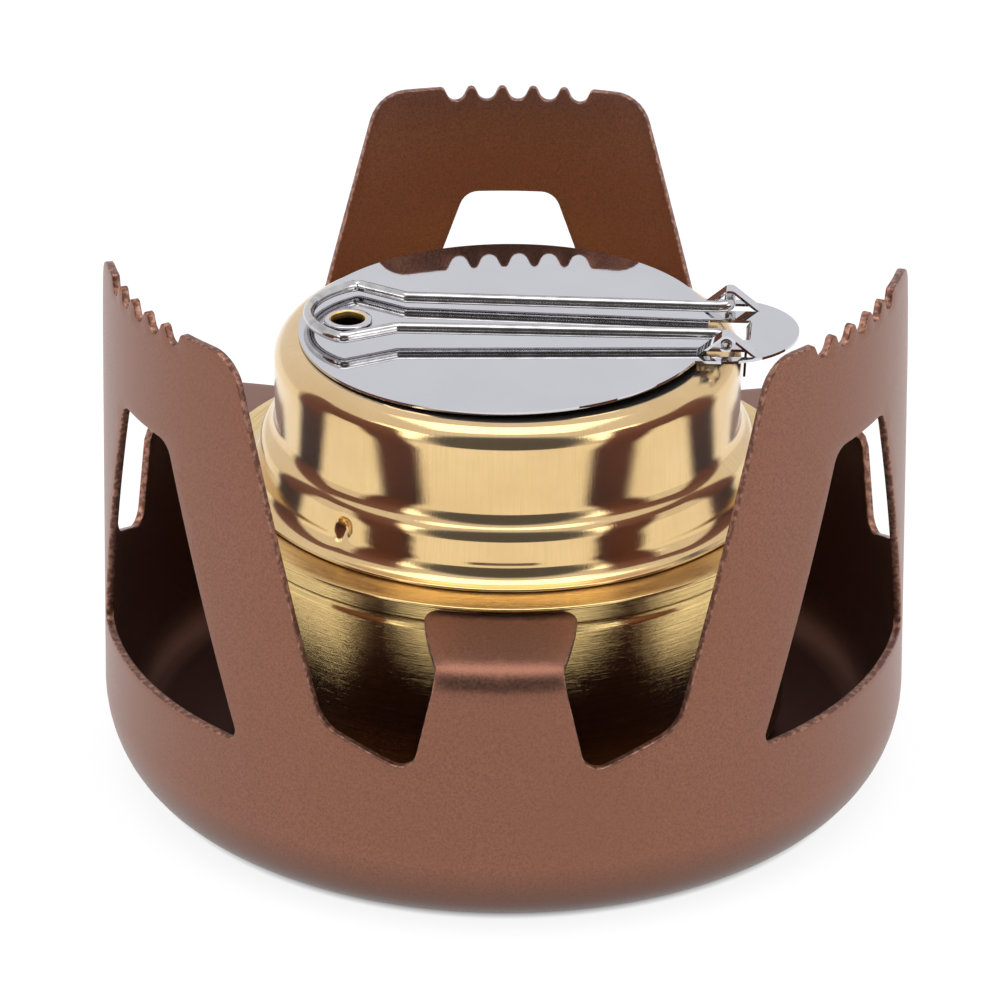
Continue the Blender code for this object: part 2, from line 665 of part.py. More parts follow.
def main():
    clear_scene()
    bronze = make_material("bronze_paint", (0.25, 0.10, 0.065), 0.6, 0.4)
    brass = make_material("brass", (0.78, 0.55, 0.24), 1.0, 0.25)
    polished = make_material("polished_brass", (0.86, 0.64, 0.30), 1.0, 0.12)
    steel = make_material("bright_steel", (0.72, 0.72, 0.74), 1.0, 0.08)
    wire = make_material("steel_wire", (0.62, 0.62, 0.63), 1.0, 0.2)
    cotton = make_material("cotton", (0.85, 0.82, 0.74), 0.0, 0.95)

    build_pot_stand(bronze)

    burner_seat = add_empty("burner_seat", (BURNER_X, 0.0, 0.0))
    build_burner_cup(brass, burner_seat)
    build_burner_collar(brass, burner_seat)
    build_wick(cotton, burner_seat)

    turn = math.radians(LID_TURN)
    pivot = (LID_CENTRE[0] + PIVOT_X * math.cos(turn), LID_CENTRE[1] + PIVOT_X * math.sin(turn))
    ring_seat = add_empty("ring_seat", (BURNER_X, 0.0, 0.0))
    build_regulator_ring(polished, ring_seat, pivot)
    rivet_seat = add_empty("rivet_seat", (pivot[0], pivot[1], 0.0))
    build_pivot({"steel": steel, "brass": brass}, rivet_seat)

    plate_top = ROOF_Z + CLEAR + PLATE_SHEET
    swivel = add_empty("swivel_axis", (pivot[0], pivot[1], plate_top), (0.0, -LID_TILT, LID_TURN))
    plate = build_damper_plate(steel, swivel)
    shift = Matrix.Translation(Vector((-PIVOT_X, 0.0, 0.0)) * MM)
    for part in swivel.children:
        part.data.transform(shift)
    plate.location = (0.0, 0.0, 0.0)
    hinge = add_empty("handle_axis", (EAR_X - PIVOT_X, 0.0, HINGE_Z), parent=swivel)
    build_wire_handle(wire, hinge)


main()
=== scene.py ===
"""Looks of the alcohol spirit stove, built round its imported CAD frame.

Lengths are in millimetres up to the point where a mesh is made, and metres after that.
"""
import math

import bmesh
import bpy
import numpy as np
from mathutils import Matrix, Vector
from mathutils.geometry import delaunay_2d_cdt


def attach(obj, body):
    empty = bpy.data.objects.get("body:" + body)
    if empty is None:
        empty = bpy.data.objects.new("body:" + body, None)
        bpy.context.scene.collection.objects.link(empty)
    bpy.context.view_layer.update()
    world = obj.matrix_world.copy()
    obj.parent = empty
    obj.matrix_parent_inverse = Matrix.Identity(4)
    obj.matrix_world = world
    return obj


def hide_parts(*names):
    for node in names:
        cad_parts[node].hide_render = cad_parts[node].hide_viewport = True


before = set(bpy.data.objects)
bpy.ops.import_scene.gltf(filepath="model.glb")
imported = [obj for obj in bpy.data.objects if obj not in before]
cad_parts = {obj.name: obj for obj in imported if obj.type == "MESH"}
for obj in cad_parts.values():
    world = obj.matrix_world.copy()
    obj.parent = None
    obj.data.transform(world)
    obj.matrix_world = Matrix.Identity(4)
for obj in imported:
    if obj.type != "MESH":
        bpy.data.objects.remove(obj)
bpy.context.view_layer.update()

MM = 0.001

# Pot stand, as the frame has it.
SHEET = 1.0
WALL_R_FOOT = 50.2
WALL_R_TOP = 48.5
TOWER_TOP = 68.65
FOOT_RISE = 10.0
FOOT_REACH = 6.5
TOWER_ANGLES = (90.0, 210.0, 330.0)
SECTOR = 120.0
PATTERN_R = 50.0
TOWER_HALF_TOP = 18.1
TOWER_HALF_FOOT = 30.6
TOWER_CORNER = 5.0
NOTCH_TOWER_Z = 25.4
NOTCH_TAB_X = 42.0
NOTCH_TAB_Z = 20.9
WINDOW_TOP_Z = 54.0
WINDOW_FOOT_Z = 19.6
WINDOW_HALF_TOP = 6.1
WINDOW_HALF_FOOT = 18.9
TEETH_VALLEYS = 5
TEETH_PITCH = 4.17
TEETH_SHIFT = -1.0
TEETH_DEPTH = 1.85
VALLEY_RADIUS = 1.25
CREST_RADIUS = 0.65
TAB_HALF_BEND = 7.6
TAB_HALF_END = 12.7
TAB_BEND_Z = 31.87
TAB_BEND_RADIUS = 2.8
TAB_BEND_ANGLE = math.radians(85.0)
TAB_INNER_R = 36.2
WALL_FROM_Z = 14.0
STAND_SEGMENTS = 240
PATTERN_STEP = 1.7
ROW_RATIO = 0.866
EDGE_STEP = 1.4
EDGE_ROUND = 0.16

# Burner and simmer ring.
BURNER_X = 0.3
BRASS = 0.8
BURNER_FOOT_Z = 3.0
BURNER_R = 35.2
BURNER_TAPER = 0.4
BAND_R = 35.5
BEAD_R = 36.9
BEAD_UNDER_Z = 35.95
LEDGE_Z = 36.45
LIP_SHEET = 0.5
SEAM_R = 32.5
NECK_R = 26.8
NECK_TOP_Z = 42.5
THREAD_TURNS = 3
THREAD_PITCH = 1.5
THREAD_DEPTH = 0.35
THREAD_STEPS = 10
BOWL_R = 21.7
JET_COUNT = 24
JET_CIRCLE_R = 28.9
JET_R = 0.7
WICK_TOP_Z = 29.8
WICK_LUMP = 0.12
CLEAR = 0.3
RING_SEGMENTS = 384
RING_STEP = 0.45
RING_SHEET = 0.7
RING_FOOT_Z = LEDGE_Z + 0.08
RING_FOOT_R = 32.75
SKIRT_R = 30.65
CAP_R = 28.5
ROOF_Z = 55.25
SHOULDER = 3.0
OPENING_R = 14.8
FLARE_R = 2.3
SKIRT_TAPER = 0.13
FLARE_TOP_Z = 39.2
STEP_FOOT_Z = 41.3
STEP_TOP_Z = 45.1
DIMPLE_ANGLES = (231.0, 351.0, 111.0)
DIMPLE_Z = 40.0
DIMPLE_HALF_WIDTH = 1.1
DIMPLE_HALF_HEIGHT = 1.5
DIMPLE_DEPTH = 0.85
DIMPLE_REACH = 2.2

# Swivel lid.
LID_CENTRE = (0.0, 0.4)
LID_TURN = -3.7
LID_TILT = 0.86
PLATE_R = 25.2
PLATE_SHEET = 0.35
PLATE_TOP = 55.75
PIVOT_X = -19.3
THUMB_R = 9.3
THUMB_X = 26.4
PIVOT_HOLE_R = 2.65
RIVET_R = 2.35
RIVET_BORE_R = 2.1
HEAD_R = 3.0
FLANGE_R = 3.05
FLANGE_DEPTH = 2.2
FLANGE_SHEET = 0.35
WASHER_R = 3.8
WASHER_SHEET = 0.5
EAR_X = 27.1
EAR_HALF_SPAN = 3.6
EAR_INNER = 5.7
EAR_OUTER = 7.9
EAR_RISE = 2.6
EAR_SHEET = 0.31
CUTOUT_FROM = 24.6
CUTOUT_TO = 29.9
CUTOUT_HALF = 2.9
TONGUE_LENGTH = 5.0
HINGE_Z = 1.25
WIRE_R = 0.7
WIRE_SIDES = 24
WIRE_DOME = (80.0, 50.0, 25.0)

# Camera: where it looks, and from how far and how high.
CAMERA_AIM = (-0.5, 0.0, 32.43)
CAMERA_DISTANCE = 585.6
CAMERA_ELEVATION = 26.2
CAMERA_TURN = 0.6
CAMERA_ROLL = 0.29
CAMERA_LENS = 170.1

# Studio: how bright the room is, and where its dark opening in front lies.
ROOM_COLOUR = (0.86, 0.86, 0.90, 1.0)
DARK_COLOUR = (0.10, 0.095, 0.09, 1.0)
DARK_ELEVATION = 22.0
DARK_REACH = 36.0
DARK_SOFT = 5.0
FLOOR_HALF = 4000.0
FLOOR_Z = -0.05
FLOOR_GLOW = 0.86
# Radii under the stove inside which the floor's glow is off and its colour dark: a painted shadow.
PAINTED_FLOOR_SHADOW_REACH = (44.0, 46.0)


# ---------------------------------------------------------------------------------------------
# Mesh tools

def new_object(name, verts, faces, sharp=40.0):
    """A closed mesh piece from millimetre points, faces outward, smooth but for sharp edges."""
    mesh = bpy.data.meshes.new(name)
    mesh.from_pydata([Vector(v) * MM for v in verts], [], faces)
    work = bmesh.new()
    work.from_mesh(mesh)
    bmesh.ops.recalc_face_normals(work, faces=work.faces)
    work.to_mesh(mesh)
    work.free()
    mesh.shade_smooth()
    mesh.set_sharp_from_angle(angle=math.radians(sharp))
    made = bpy.data.objects.new(name, mesh)
    bpy.context.scene.collection.objects.link(made)
    return made


def arc(centre, radius, start, end, count):
    """Points on an arc from start to end, in degrees, both ends included."""
    points = []
    for i in range(count + 1):
        a = math.radians(start + (end - start) * i / count)
        points.append((centre[0] + radius * math.cos(a), centre[1] + radius * math.sin(a)))
    return points


def rounded(corners, count=8, closed=False):
    """Round each (x, y, radius) corner of a line; the end points of an open line stay."""
    if closed:
        triples = list(zip(corners[-1:] + corners[:-1], corners, corners[1:] + corners[:1]))
        points = []
    else:
        triples = list(zip(corners, corners[1:], corners[2:]))
        points = [tuple(corners[0][:2])]
    for before, corner, after in triples:
        here = Vector(corner[:2])
        back = (Vector(before[:2]) - here).normalized()
        ahead = (Vector(after[:2]) - here).normalized()
        half = back.angle(ahead) / 2.0
        if corner[2] <= 0.0 or half > math.radians(89.5):
            points.append(tuple(here))
            continue
        reach = corner[2] / math.tan(half)
        centre = here + (back + ahead).normalized() * (corner[2] / math.sin(half))
        first = here + back * reach - centre
        turn = first.angle_signed(here + ahead * reach - centre)
        steps = max(2, round(count * abs(turn) / (math.pi / 2.0)))
        for i in range(steps + 1):
            points.append(tuple(centre + Matrix.Rotation(-turn * i / steps, 2) @ first))
    if not closed:
        points.append(tuple(corners[-1][:2]))
    return points


def lathe(name, section, segments=256, shift=BURNER_X):
    """Turn a closed (radius, height) section round a vertical axis at x = shift."""
    verts = []
    rings = []
    for radius, height in section:
        if radius < 1e-6:
            verts.append((shift, 0.0, height))
            rings.append([len(verts) - 1] * segments)
            continue
        rings.append([len(verts) + i for i in range(segments)])
        for i in range(segments):
            a = 2.0 * math.pi * i / segments
            verts.append((shift + radius * math.cos(a), radius * math.sin(a), height))
    faces = []
    for low, high in zip(rings, rings[1:] + rings[:1]):
        for i in range(segments):
            j = (i + 1) % segments
            face = []
            for v in (low[i], low[j], high[j], high[i]):
                if v not in face:
                    face.append(v)
            if len(face) > 2:
                faces.append(face)
    return new_object(name, verts, faces)


def circle(centre, radius, count):
    """A closed circle of points."""
    return arc(centre, radius, 0.0, 360.0 - 360.0 / count, count - 1)


def subdivided(outline, step):
    """The closed outline with its long straight stretches cut into pieces no longer than step."""
    points = []
    for (x1, y1), (x2, y2) in zip(outline, outline[1:] + outline[:1]):
        pieces = max(1, math.ceil(math.dist((x1, y1), (x2, y2)) / step - 1e-6))
        points += [(x1 + (x2 - x1) * i / pieces, y1 + (y2 - y1) * i / pieces) for i in range(pieces)]
    return points


def inside(point, outline):
    """True if a flat point lies inside a closed outline."""
    x, y = point
    result = False
    for (x1, y1), (x2, y2) in zip(outline, outline[1:] + outline[:1]):
        if (y1 > y) != (y2 > y) and x < (x2 - x1) * (y - y1) / (y2 - y1) + x1:
            result = not result
    return result


# ---------------------------------------------------------------------------------------------
# Pot stand

BEND_LENGTH = (TAB_BEND_RADIUS - SHEET / 2.0) * TAB_BEND_ANGLE
TAB_X = math.radians(SECTOR / 2.0) * PATTERN_R


def wall_radius(z):
    """Outer radius of the stand's wall, which leans inward a little towards the top."""
    return WALL_R_FOOT + (WALL_R_TOP - WALL_R_FOOT) * z / TOWER_TOP


BEND_END_R = wall_radius(TAB_BEND_Z) - TAB_BEND_RADIUS * (1.0 - math.cos(TAB_BEND_ANGLE))
TAB_END_V = TAB_BEND_Z + BEND_LENGTH + (BEND_END_R - TAB_INNER_R) / math.sin(TAB_BEND_ANGLE)


def stand_point(phi, v, depth):
    """Radius and height of a pattern point; depth is measured into the sheet from outside.

    v is the height on the wall. Above the bend it runs inward along a tab's shelf, from 0 to the
    rounding's height it runs round the foot, and below 0 it runs inward along the floor.
    """
    floor_r = wall_radius(FOOT_RISE) - FOOT_REACH
    bend_centre = wall_radius(TAB_BEND_Z) - TAB_BEND_RADIUS
    if v > TAB_BEND_Z and abs(abs(phi) - SECTOR / 2.0) < 20.0:
        a = min(1.0, (v - TAB_BEND_Z) / BEND_LENGTH) * TAB_BEND_ANGLE
        beyond = max(0.0, v - TAB_BEND_Z - BEND_LENGTH)
        radius = bend_centre + (TAB_BEND_RADIUS - depth) * math.cos(a) - beyond * math.sin(a)
        return radius, TAB_BEND_Z + (TAB_BEND_RADIUS - depth) * math.sin(a) + beyond * math.cos(a)
    if v >= FOOT_RISE:
        return wall_radius(v) - depth, v
    if v >= 0.0:
        a = (1.0 - v / FOOT_RISE) * math.pi / 2.0
        return floor_r + (FOOT_REACH - depth) * math.cos(a), FOOT_RISE - (FOOT_RISE - depth) * math.sin(a)
    return floor_r + v, depth


def teeth_line():
    """The toothed stretch of a tower's top edge, from its right end to its left."""
    crest_z = TOWER_TOP - CREST_RADIUS
    valley_z = TOWER_TOP - TEETH_DEPTH + VALLEY_RADIUS
    apart = math.hypot(TEETH_PITCH / 2.0, valley_z - crest_z)
    flank = math.acos((CREST_RADIUS + VALLEY_RADIUS) / apart)
    lean = math.degrees(flank + math.atan2(valley_z - crest_z, TEETH_PITCH / 2.0))
    first = TEETH_SHIFT + (TEETH_VALLEYS - 1) / 2.0 * TEETH_PITCH
    points = arc((first + TEETH_PITCH / 2.0, crest_z), CREST_RADIUS, 90.0, 180.0 - lean, 4)
    for i in range(TEETH_VALLEYS):
        centre = first - i * TEETH_PITCH
        points += arc((centre, valley_z), VALLEY_RADIUS, -lean, lean - 180.0, 12)
        last = 90.0 if i == TEETH_VALLEYS - 1 else 180.0 - lean
        points += arc((centre - TEETH_PITCH / 2.0, crest_z), CREST_RADIUS, lean, last, 8)
    return points


def sector_outline():
    """One tower with half a tab on each side, as a closed flat outline."""
    side = rounded([
        (TAB_X, TAB_END_V, 0.0),
        (TAB_X - TAB_HALF_END, TAB_END_V, 1.8),
        (TAB_X - TAB_HALF_BEND, TAB_BEND_Z + 0.6 * BEND_LENGTH, 3.0),
        (TAB_X - TAB_HALF_BEND - 0.3, TAB_BEND_Z, 0.0),
        (NOTCH_TAB_X, NOTCH_TAB_Z, 2.2),
        (TOWER_HALF_FOOT, NOTCH_TOWER_Z, 5.0),
        (TOWER_HALF_TOP, TOWER_TOP, TOWER_CORNER),
        (0.0, TOWER_TOP, 0.0)])[:-1]
    steps = STAND_SEGMENTS // len(TOWER_ANGLES)
    floor_line = [(-TAB_X + 2.0 * TAB_X * i / steps, WALL_FROM_Z) for i in range(steps + 1)]
    mirror = [(-x, v) for x, v in reversed(side)]
    return floor_line, side + teeth_line() + mirror


def window_outline():
    """The trapezoid window of a tower, as a closed flat outline."""
    half = rounded([
        (0.0, WINDOW_FOOT_Z, 0.0),
        (WINDOW_HALF_FOOT, WINDOW_FOOT_Z, 1.3),
        (WINDOW_HALF_TOP, WINDOW_TOP_Z, 2.6),
        (0.0, WINDOW_TOP_Z, 0.0)])
    mirror = [(-x, v) for x, v in reversed(half)]
    return half + mirror[1:-1]


def edge_normals(points, closed):
    """Outward unit normals, in the flat, of an anticlockwise edge line."""
    normals = []
    last = len(points) - 1
    for i, here in enumerate(points):
        before = points[i - 1] if closed or i > 0 else here
        after = points[(i + 1) % len(points)] if closed or i < last else here
        run = Vector((after[0] - before[0], after[1] - before[1]))
        normals.append(Vector((run.y, -run.x)).normalized())
    return normals


def open_subdivided(line, step):
    """An open line with its long stretches cut into pieces no longer than step."""
    closing_pieces = max(1, math.ceil(math.dist(line[-1], line[0]) / step - 1e-6))
    return subdivided(line, step)[:-closing_pieces] + [line[-1]]


def sector_mesh():
    """One sector of the sheet: flat points and triangles, and the edge lines with their normals."""
    floor_line, cut_line = sector_outline()
    cut = open_subdivided(cut_line, EDGE_STEP)
    window = subdivided(window_outline(), EDGE_STEP)[::-1]
    cut_normals = edge_normals(cut, False)
    cut_normals[0] = cut_normals[-1] = Vector((0.0, 1.0))
    window_normals = edge_normals(window, True)
    cut_in = [(x - n.x * EDGE_ROUND, v - n.y * EDGE_ROUND) for (x, v), n in zip(cut, cut_normals)]
    window_in = [(x - n.x * EDGE_ROUND, v - n.y * EDGE_ROUND) for (x, v), n in zip(window, window_normals)]
    top = cut_in[0][1]
    rows = int((top - WALL_FROM_Z) / PATTERN_STEP)
    rise = [WALL_FROM_Z + (top - WALL_FROM_Z) * i / rows for i in range(1, rows)]
    outline = floor_line + [(TAB_X, v) for v in rise] + cut_in + [(-TAB_X, v) for v in reversed(rise)]
    points = outline + window_in
    edges = []
    for start, count in ((0, len(outline)), (len(outline), len(window_in))):
        edges += [(start + i, start + (i + 1) % count) for i in range(count)]
    border = np.array(points)
    columns = int(2.0 * TAB_X / PATTERN_STEP)
    for row in range(1, int((TOWER_TOP - WALL_FROM_Z) / (PATTERN_STEP * ROW_RATIO))):
        v = WALL_FROM_Z + row * PATTERN_STEP * ROW_RATIO
        for column in range(columns + 1):
            x = (column - columns / 2.0 + 0.5 * (row % 2)) * PATTERN_STEP
            if np.min(np.hypot(border[:, 0] - x, border[:, 1] - v)) < 0.6 * PATTERN_STEP:
                continue
            if inside((x, v), outline) and not inside((x, v), window_in):
                points.append((x, v))
    flat, _, triangles, _, _, _ = delaunay_2d_cdt([Vector(p) for p in points], edges, [], 0, 1e-6)
    kept = []
    for corners in triangles:
        middle = sum((flat[i] for i in corners), Vector((0.0, 0.0))) / 3.0
        if inside(middle, outline) and not inside(middle, window_in):
            kept.append(list(corners))
    return [tuple(p) for p in flat], kept, ((cut, cut_normals, False), (window, window_normals, True))


def build_stand():
    """The drawn cup with towers, windows and bent tabs, every cut edge rounded over."""
    flat, triangles, lines = sector_mesh()
    floor_end = FOOT_REACH - wall_radius(FOOT_RISE)
    verts = []
    marks = []
    places = {}

    def index(tower, x, v, depth, mark):
        local = math.degrees(x / PATTERN_R)
        phi = tower + local
        if v <= floor_end + 1e-6:
            phi = 0.0
        key = (round(phi % 360.0, 3) % 360.0, round(v, 3), round(depth, 3))
        if key not in places:
            radius, height = stand_point(local, v, depth)
            a = math.radians(phi)
            places[key] = len(verts)
            verts.append((radius * math.cos(a), radius * math.sin(a), height))
            marks.append(mark)
        return places[key]

    faces = []
    profile = [(EDGE_ROUND * (1.0 - math.sin(a)), EDGE_ROUND * (1.0 - math.cos(a)))
               for a in (0.0, math.pi / 6.0, math.pi / 3.0, math.pi / 2.0)]
    profile += [(inset, SHEET - depth) for inset, depth in reversed(profile)]
    # Strength of the painted highlight and shade on the cut edges: full over the rounded edge, 0.3 where it
    # meets the faces.
    painted_edge_light_weight = [1.0 if inset < 0.1 else 0.3 for inset, _ in profile]
    for tower in TOWER_ANGLES:
        for depth in (0.0, SHEET):
            numbers = [index(tower, x, v, depth, 0.0) for x, v in flat]
            for corners in triangles:
                face = [numbers[i] for i in corners]
                faces.append(face if depth == 0.0 else face[::-1])
        for line, normals, closed in lines:
            rows = []
            for (x, v), n in zip(line, normals):
                rows.append([index(tower, x - n.x * inset, v - n.y * inset, depth, mark)
                             for (inset, depth), mark in zip(profile, painted_edge_light_weight)])
            pairs = list(zip(rows, rows[1:]))
            if closed:
                pairs.append((rows[-1], rows[0]))
            for here, there in pairs:
                for k in range(len(profile) - 1):
                    faces.append([here[k], there[k], there[k + 1], here[k + 1]])
    steps = STAND_SEGMENTS // len(TOWER_ANGLES)
    step = 2.0 * TAB_X / steps
    floor_rows = [floor_end * (1.0 - i / 12.0) for i in range(13)]
    floor_rows += [FOOT_RISE * i / 12.0 for i in range(1, 13)]
    floor_rows += [FOOT_RISE + (WALL_FROM_Z - FOOT_RISE) * i / 3.0 for i in range(1, 4)]
    for tower in TOWER_ANGLES:
        for depth in (0.0, SHEET):
            for low, high in zip(floor_rows, floor_rows[1:]):
                for i in range(steps):
                    left = -TAB_X + i * step
                    face = []
                    for x, v in ((left, low), (left + step, low), (left + step, high), (left, high)):
                        number = index(tower, x, v, depth, 0.0)
                        if number not in face:
                            face.append(number)
                    faces.append(face if depth == 0.0 else face[::-1])
    stand = new_object("pot_stand_sheet", verts, faces, 50.0)
    mark = stand.data.attributes.new("cut_edge", "FLOAT", "POINT")
    mark.data.foreach_set("value", marks)
    return stand


# ---------------------------------------------------------------------------------------------
# Burner

def build_burner_cup():
    """Outer brass cup with its band, groove, rolled bead and folded lip."""
    foot_r = BURNER_R - BURNER_TAPER
    section = rounded([
        (0.0, BURNER_FOOT_Z, 0.0),
        (foot_r, BURNER_FOOT_Z, 4.0),
        (BURNER_R, 32.1, 0.5),
        (BURNER_R - 0.35, 32.5, 0.2),
        (BURNER_R - 0.35, 33.0, 0.2),
        (BAND_R, 33.35, 0.5),
        (BAND_R, BEAD_UNDER_Z, 0.15),
        (BEAD_R, BEAD_UNDER_Z - 0.02, 0.22),
        (BEAD_R - 0.12, LEDGE_Z - 0.08, 0.2),
        (BEAD_R - 0.8, LEDGE_Z, 0.6),
        (SEAM_R, LEDGE_Z, 0.2),
        (SEAM_R, LEDGE_Z - LIP_SHEET, 0.1),
        (BAND_R - BRASS, LEDGE_Z - LIP_SHEET, 0.0),
        (BAND_R - BRASS, 33.0, 0.3),
        (BURNER_R - BRASS - 0.35, 32.0, 0.3),
        (foot_r - BRASS, BURNER_FOOT_Z + BRASS, 3.2),
        (0.0, BURNER_FOOT_Z + BRASS, 0.0)])
    return lathe("burner_cup_shell", section)


def build_burner_collar():
    """Inner brass piece with its ledge, jet holes, threaded neck and bowl wall."""
    ledge_r = BAND_R - BRASS - CLEAR
    under_lip = LEDGE_Z - LIP_SHEET - CLEAR
    seam_r = SEAM_R - CLEAR
    root_r = NECK_R - THREAD_DEPTH
    section = [(ledge_r, under_lip - BRASS), (ledge_r, under_lip), (seam_r, under_lip)]
    section += rounded([
        (seam_r, LEDGE_Z - 0.4, 0.0), (seam_r, LEDGE_Z, 0.3), (NECK_R + 0.1, LEDGE_Z, 0.4),
        (root_r, LEDGE_Z + 0.6, 0.0)])[1:]
    for k in range(THREAD_TURNS * THREAD_STEPS + 1):
        wave = 0.5 - 0.5 * math.cos(2.0 * math.pi * k / THREAD_STEPS)
        section.append((root_r + THREAD_DEPTH * wave, LEDGE_Z + 0.7 + THREAD_PITCH * k / THREAD_STEPS))
    section += rounded([
        (NECK_R - 0.4, LEDGE_Z + 5.3, 0.0), (NECK_R - 0.4, NECK_TOP_Z, 0.5), (BOWL_R, NECK_TOP_Z, 0.6),
        (BOWL_R, BURNER_FOOT_Z + 2.5, 0.2), (BOWL_R + BRASS, BURNER_FOOT_Z + 2.5, 0.2),
        (BOWL_R + BRASS, NECK_TOP_Z - BRASS, 0.2), (root_r - BRASS, NECK_TOP_Z - BRASS, 0.2),
        (root_r - BRASS, LEDGE_Z - BRASS, 0.2), (seam_r - BRASS, LEDGE_Z - BRASS, 0.1),
        (seam_r - BRASS, under_lip - BRASS, 0.0)])
    collar = lathe("burner_collar_shell", section)
    verts = []
    faces = []
    sides = 20
    for jet in range(JET_COUNT):
        a = 2.0 * math.pi * (jet + 0.5) / JET_COUNT
        centre = (BURNER_X + JET_CIRCLE_R * math.cos(a), JET_CIRCLE_R * math.sin(a))
        base = len(verts)
        for height in (LEDGE_Z - 2.0, LEDGE_Z + 0.6):
            verts += [(x, y, height) for x, y in circle(centre, JET_R, sides)]
        faces += [list(range(base, base + sides)), list(range(base + sides, base + 2 * sides))]
        for i in range(sides):
            j = (i + 1) % sides
            faces.append([base + i, base + j, base + sides + j, base + sides + i])
    combine(collar, new_object("jet_cutter", verts, faces), "DIFFERENCE")
    return collar


def combine(target, tool, operation):
    """Cut target with tool or unite them, apply it, and remove the tool."""
    step = target.modifiers.new("combine", "BOOLEAN")
    step.operation = operation
    step.solver = "EXACT"
    step.object = tool
    bpy.context.view_layer.update()
    depsgraph = bpy.context.evaluated_depsgraph_get()
    combined = bpy.data.meshes.new_from_object(target.evaluated_get(depsgraph))
    target.modifiers.clear()
    target.data = combined
    target.data.set_sharp_from_angle(angle=math.radians(40.0))
    bpy.data.objects.remove(tool, do_unlink=True)


def build_wick():
    """Cotton ring with a soft, lumpy surface."""
    inner_r = BOWL_R + BRASS + CLEAR + 0.2
    outer_r = BURNER_R - BURNER_TAPER - BRASS - CLEAR - 0.3
    foot = BURNER_FOOT_Z + BRASS + CLEAR + 0.2
    section = rounded([
        (inner_r, foot, 1.5), (outer_r, foot, 4.0),
        (outer_r, WICK_TOP_Z, 2.5), (inner_r, WICK_TOP_Z, 2.5)], 8, True)
    section = subdivided(section, 1.2)
    wick = lathe("wick_cotton", section, 200)
    for vertex in wick.data.vertices:
        p = vertex.co / MM
        a = math.atan2(p.y, p.x)
        lump = math.sin(a * 17.0 + p.z) * math.sin(p.z * 0.9 + a * 5.0)
        vertex.co += vertex.normal * (WICK_LUMP * lump * MM)
    return wick


# ---------------------------------------------------------------------------------------------
# Simmer ring and lid

def skirt_radius(z):
    """Radius of the skirt, which narrows a little upwards and carries faint draw ripples."""
    ripple = 0.003 * math.sin(2.0 * math.pi * (z - FLARE_TOP_Z) / 0.9)
    return SKIRT_R + SKIRT_TAPER * (FLARE_TOP_Z - z) + ripple


def step_curve(depth):
    """The S-curve between skirt and cap wall, on the sheet's outer side or depth inside it."""
    foot_r = skirt_radius(STEP_FOOT_Z)
    bend = math.degrees(2.0 * math.atan2(foot_r - CAP_R, STEP_TOP_Z - STEP_FOOT_Z))
    radius = (STEP_TOP_Z - STEP_FOOT_Z) / 2.0 / math.sin(math.radians(bend))
    lower = arc((foot_r - radius, STEP_FOOT_Z), radius - depth, 8.0, bend, 16)
    upper = arc((CAP_R + radius, STEP_TOP_Z), radius + depth, 180.0 + bend, 180.0, 16)
    return lower + upper


def build_ring():
    """Polished simmer ring: flared foot, skirt with dimples, step, cap, shoulder, rolled opening."""
    s = RING_SHEET
    outer = [(RING_FOOT_R - s, RING_FOOT_Z)]
    outer += arc((RING_FOOT_R - 0.15, RING_FOOT_Z + 0.19), 0.19, -90.0, 90.0, 10)
    outer += arc((SKIRT_R + FLARE_R, FLARE_TOP_Z), FLARE_R, 260.0, 180.0, 14)
    outer += [(skirt_radius(z), z) for z in (39.5, 39.8, 40.1, 40.4, 40.7, 41.0)]
    outer += step_curve(0.0)
    outer += arc((CAP_R - SHOULDER, ROOF_Z - SHOULDER), SHOULDER, 0.0, 90.0, 20)
    outer += rounded([
        (OPENING_R + 2.0, ROOF_Z, 0.0), (OPENING_R, ROOF_Z, 0.8), (OPENING_R, ROOF_Z - 1.8, 0.0)])
    inner = rounded([
        (OPENING_R + s, ROOF_Z - 1.8, 0.0), (OPENING_R + s, ROOF_Z - s, 0.1),
        (OPENING_R + 2.0, ROOF_Z - s, 0.0)])
    inner += arc((CAP_R - SHOULDER, ROOF_Z - SHOULDER), SHOULDER - s, 90.0, 0.0, 14)
    inner += step_curve(s)[::-1]
    inner += arc((SKIRT_R + FLARE_R, FLARE_TOP_Z), FLARE_R + s, 180.0, 238.0, 10)
    section = subdivided(outer + inner, RING_STEP)
    ring = lathe("regulator_ring_shell", section, RING_SEGMENTS)
    press_dimples(ring)
    hole = prism("ring_hole", circle(pivot_spot(), PIVOT_HOLE_R, 48), ROOF_Z - 2.0, ROOF_Z + 2.0)
    combine(ring, hole, "DIFFERENCE")
    return ring


def press_dimples(ring):
    """Push the skirt in, softly, at each of its dimples."""
    for vertex in ring.data.vertices:
        p = vertex.co / MM
        out = math.hypot(p.x - BURNER_X, p.y)
        if out < SKIRT_R - 1.4 or p.z > STEP_TOP_Z - 0.6:
            continue
        for angle in DIMPLE_ANGLES:
            a = math.atan2(p.y, p.x - BURNER_X) - math.radians(angle)
            a = (a + math.pi) % (2.0 * math.pi) - math.pi
            away = math.hypot(a * out / DIMPLE_HALF_WIDTH, (p.z - DIMPLE_Z) / DIMPLE_HALF_HEIGHT)
            if away < DIMPLE_REACH:
                push = DIMPLE_DEPTH * math.exp(-1.6 * away * away)
                inward = Vector((p.x - BURNER_X, p.y, 0.0)).normalized()
                vertex.co -= inward * (push * MM)


def pivot_spot():
    """Where the lid's pivot stands, seen from above."""
    turn = math.radians(LID_TURN)
    return LID_CENTRE[0] + PIVOT_X * math.cos(turn), LID_CENTRE[1] + PIVOT_X * math.sin(turn)


def prism(name, outline, low, high):
    """A closed outline between two heights."""
    count = len(outline)
    verts = [(x, y, low) for x, y in outline] + [(x, y, high) for x, y in outline]
    faces = [list(range(count)), list(range(count, 2 * count))]
    for i in range(count):
        j = (i + 1) % count
        faces.append([i, j, count + j, count + i])
    return new_object(name, verts, faces)


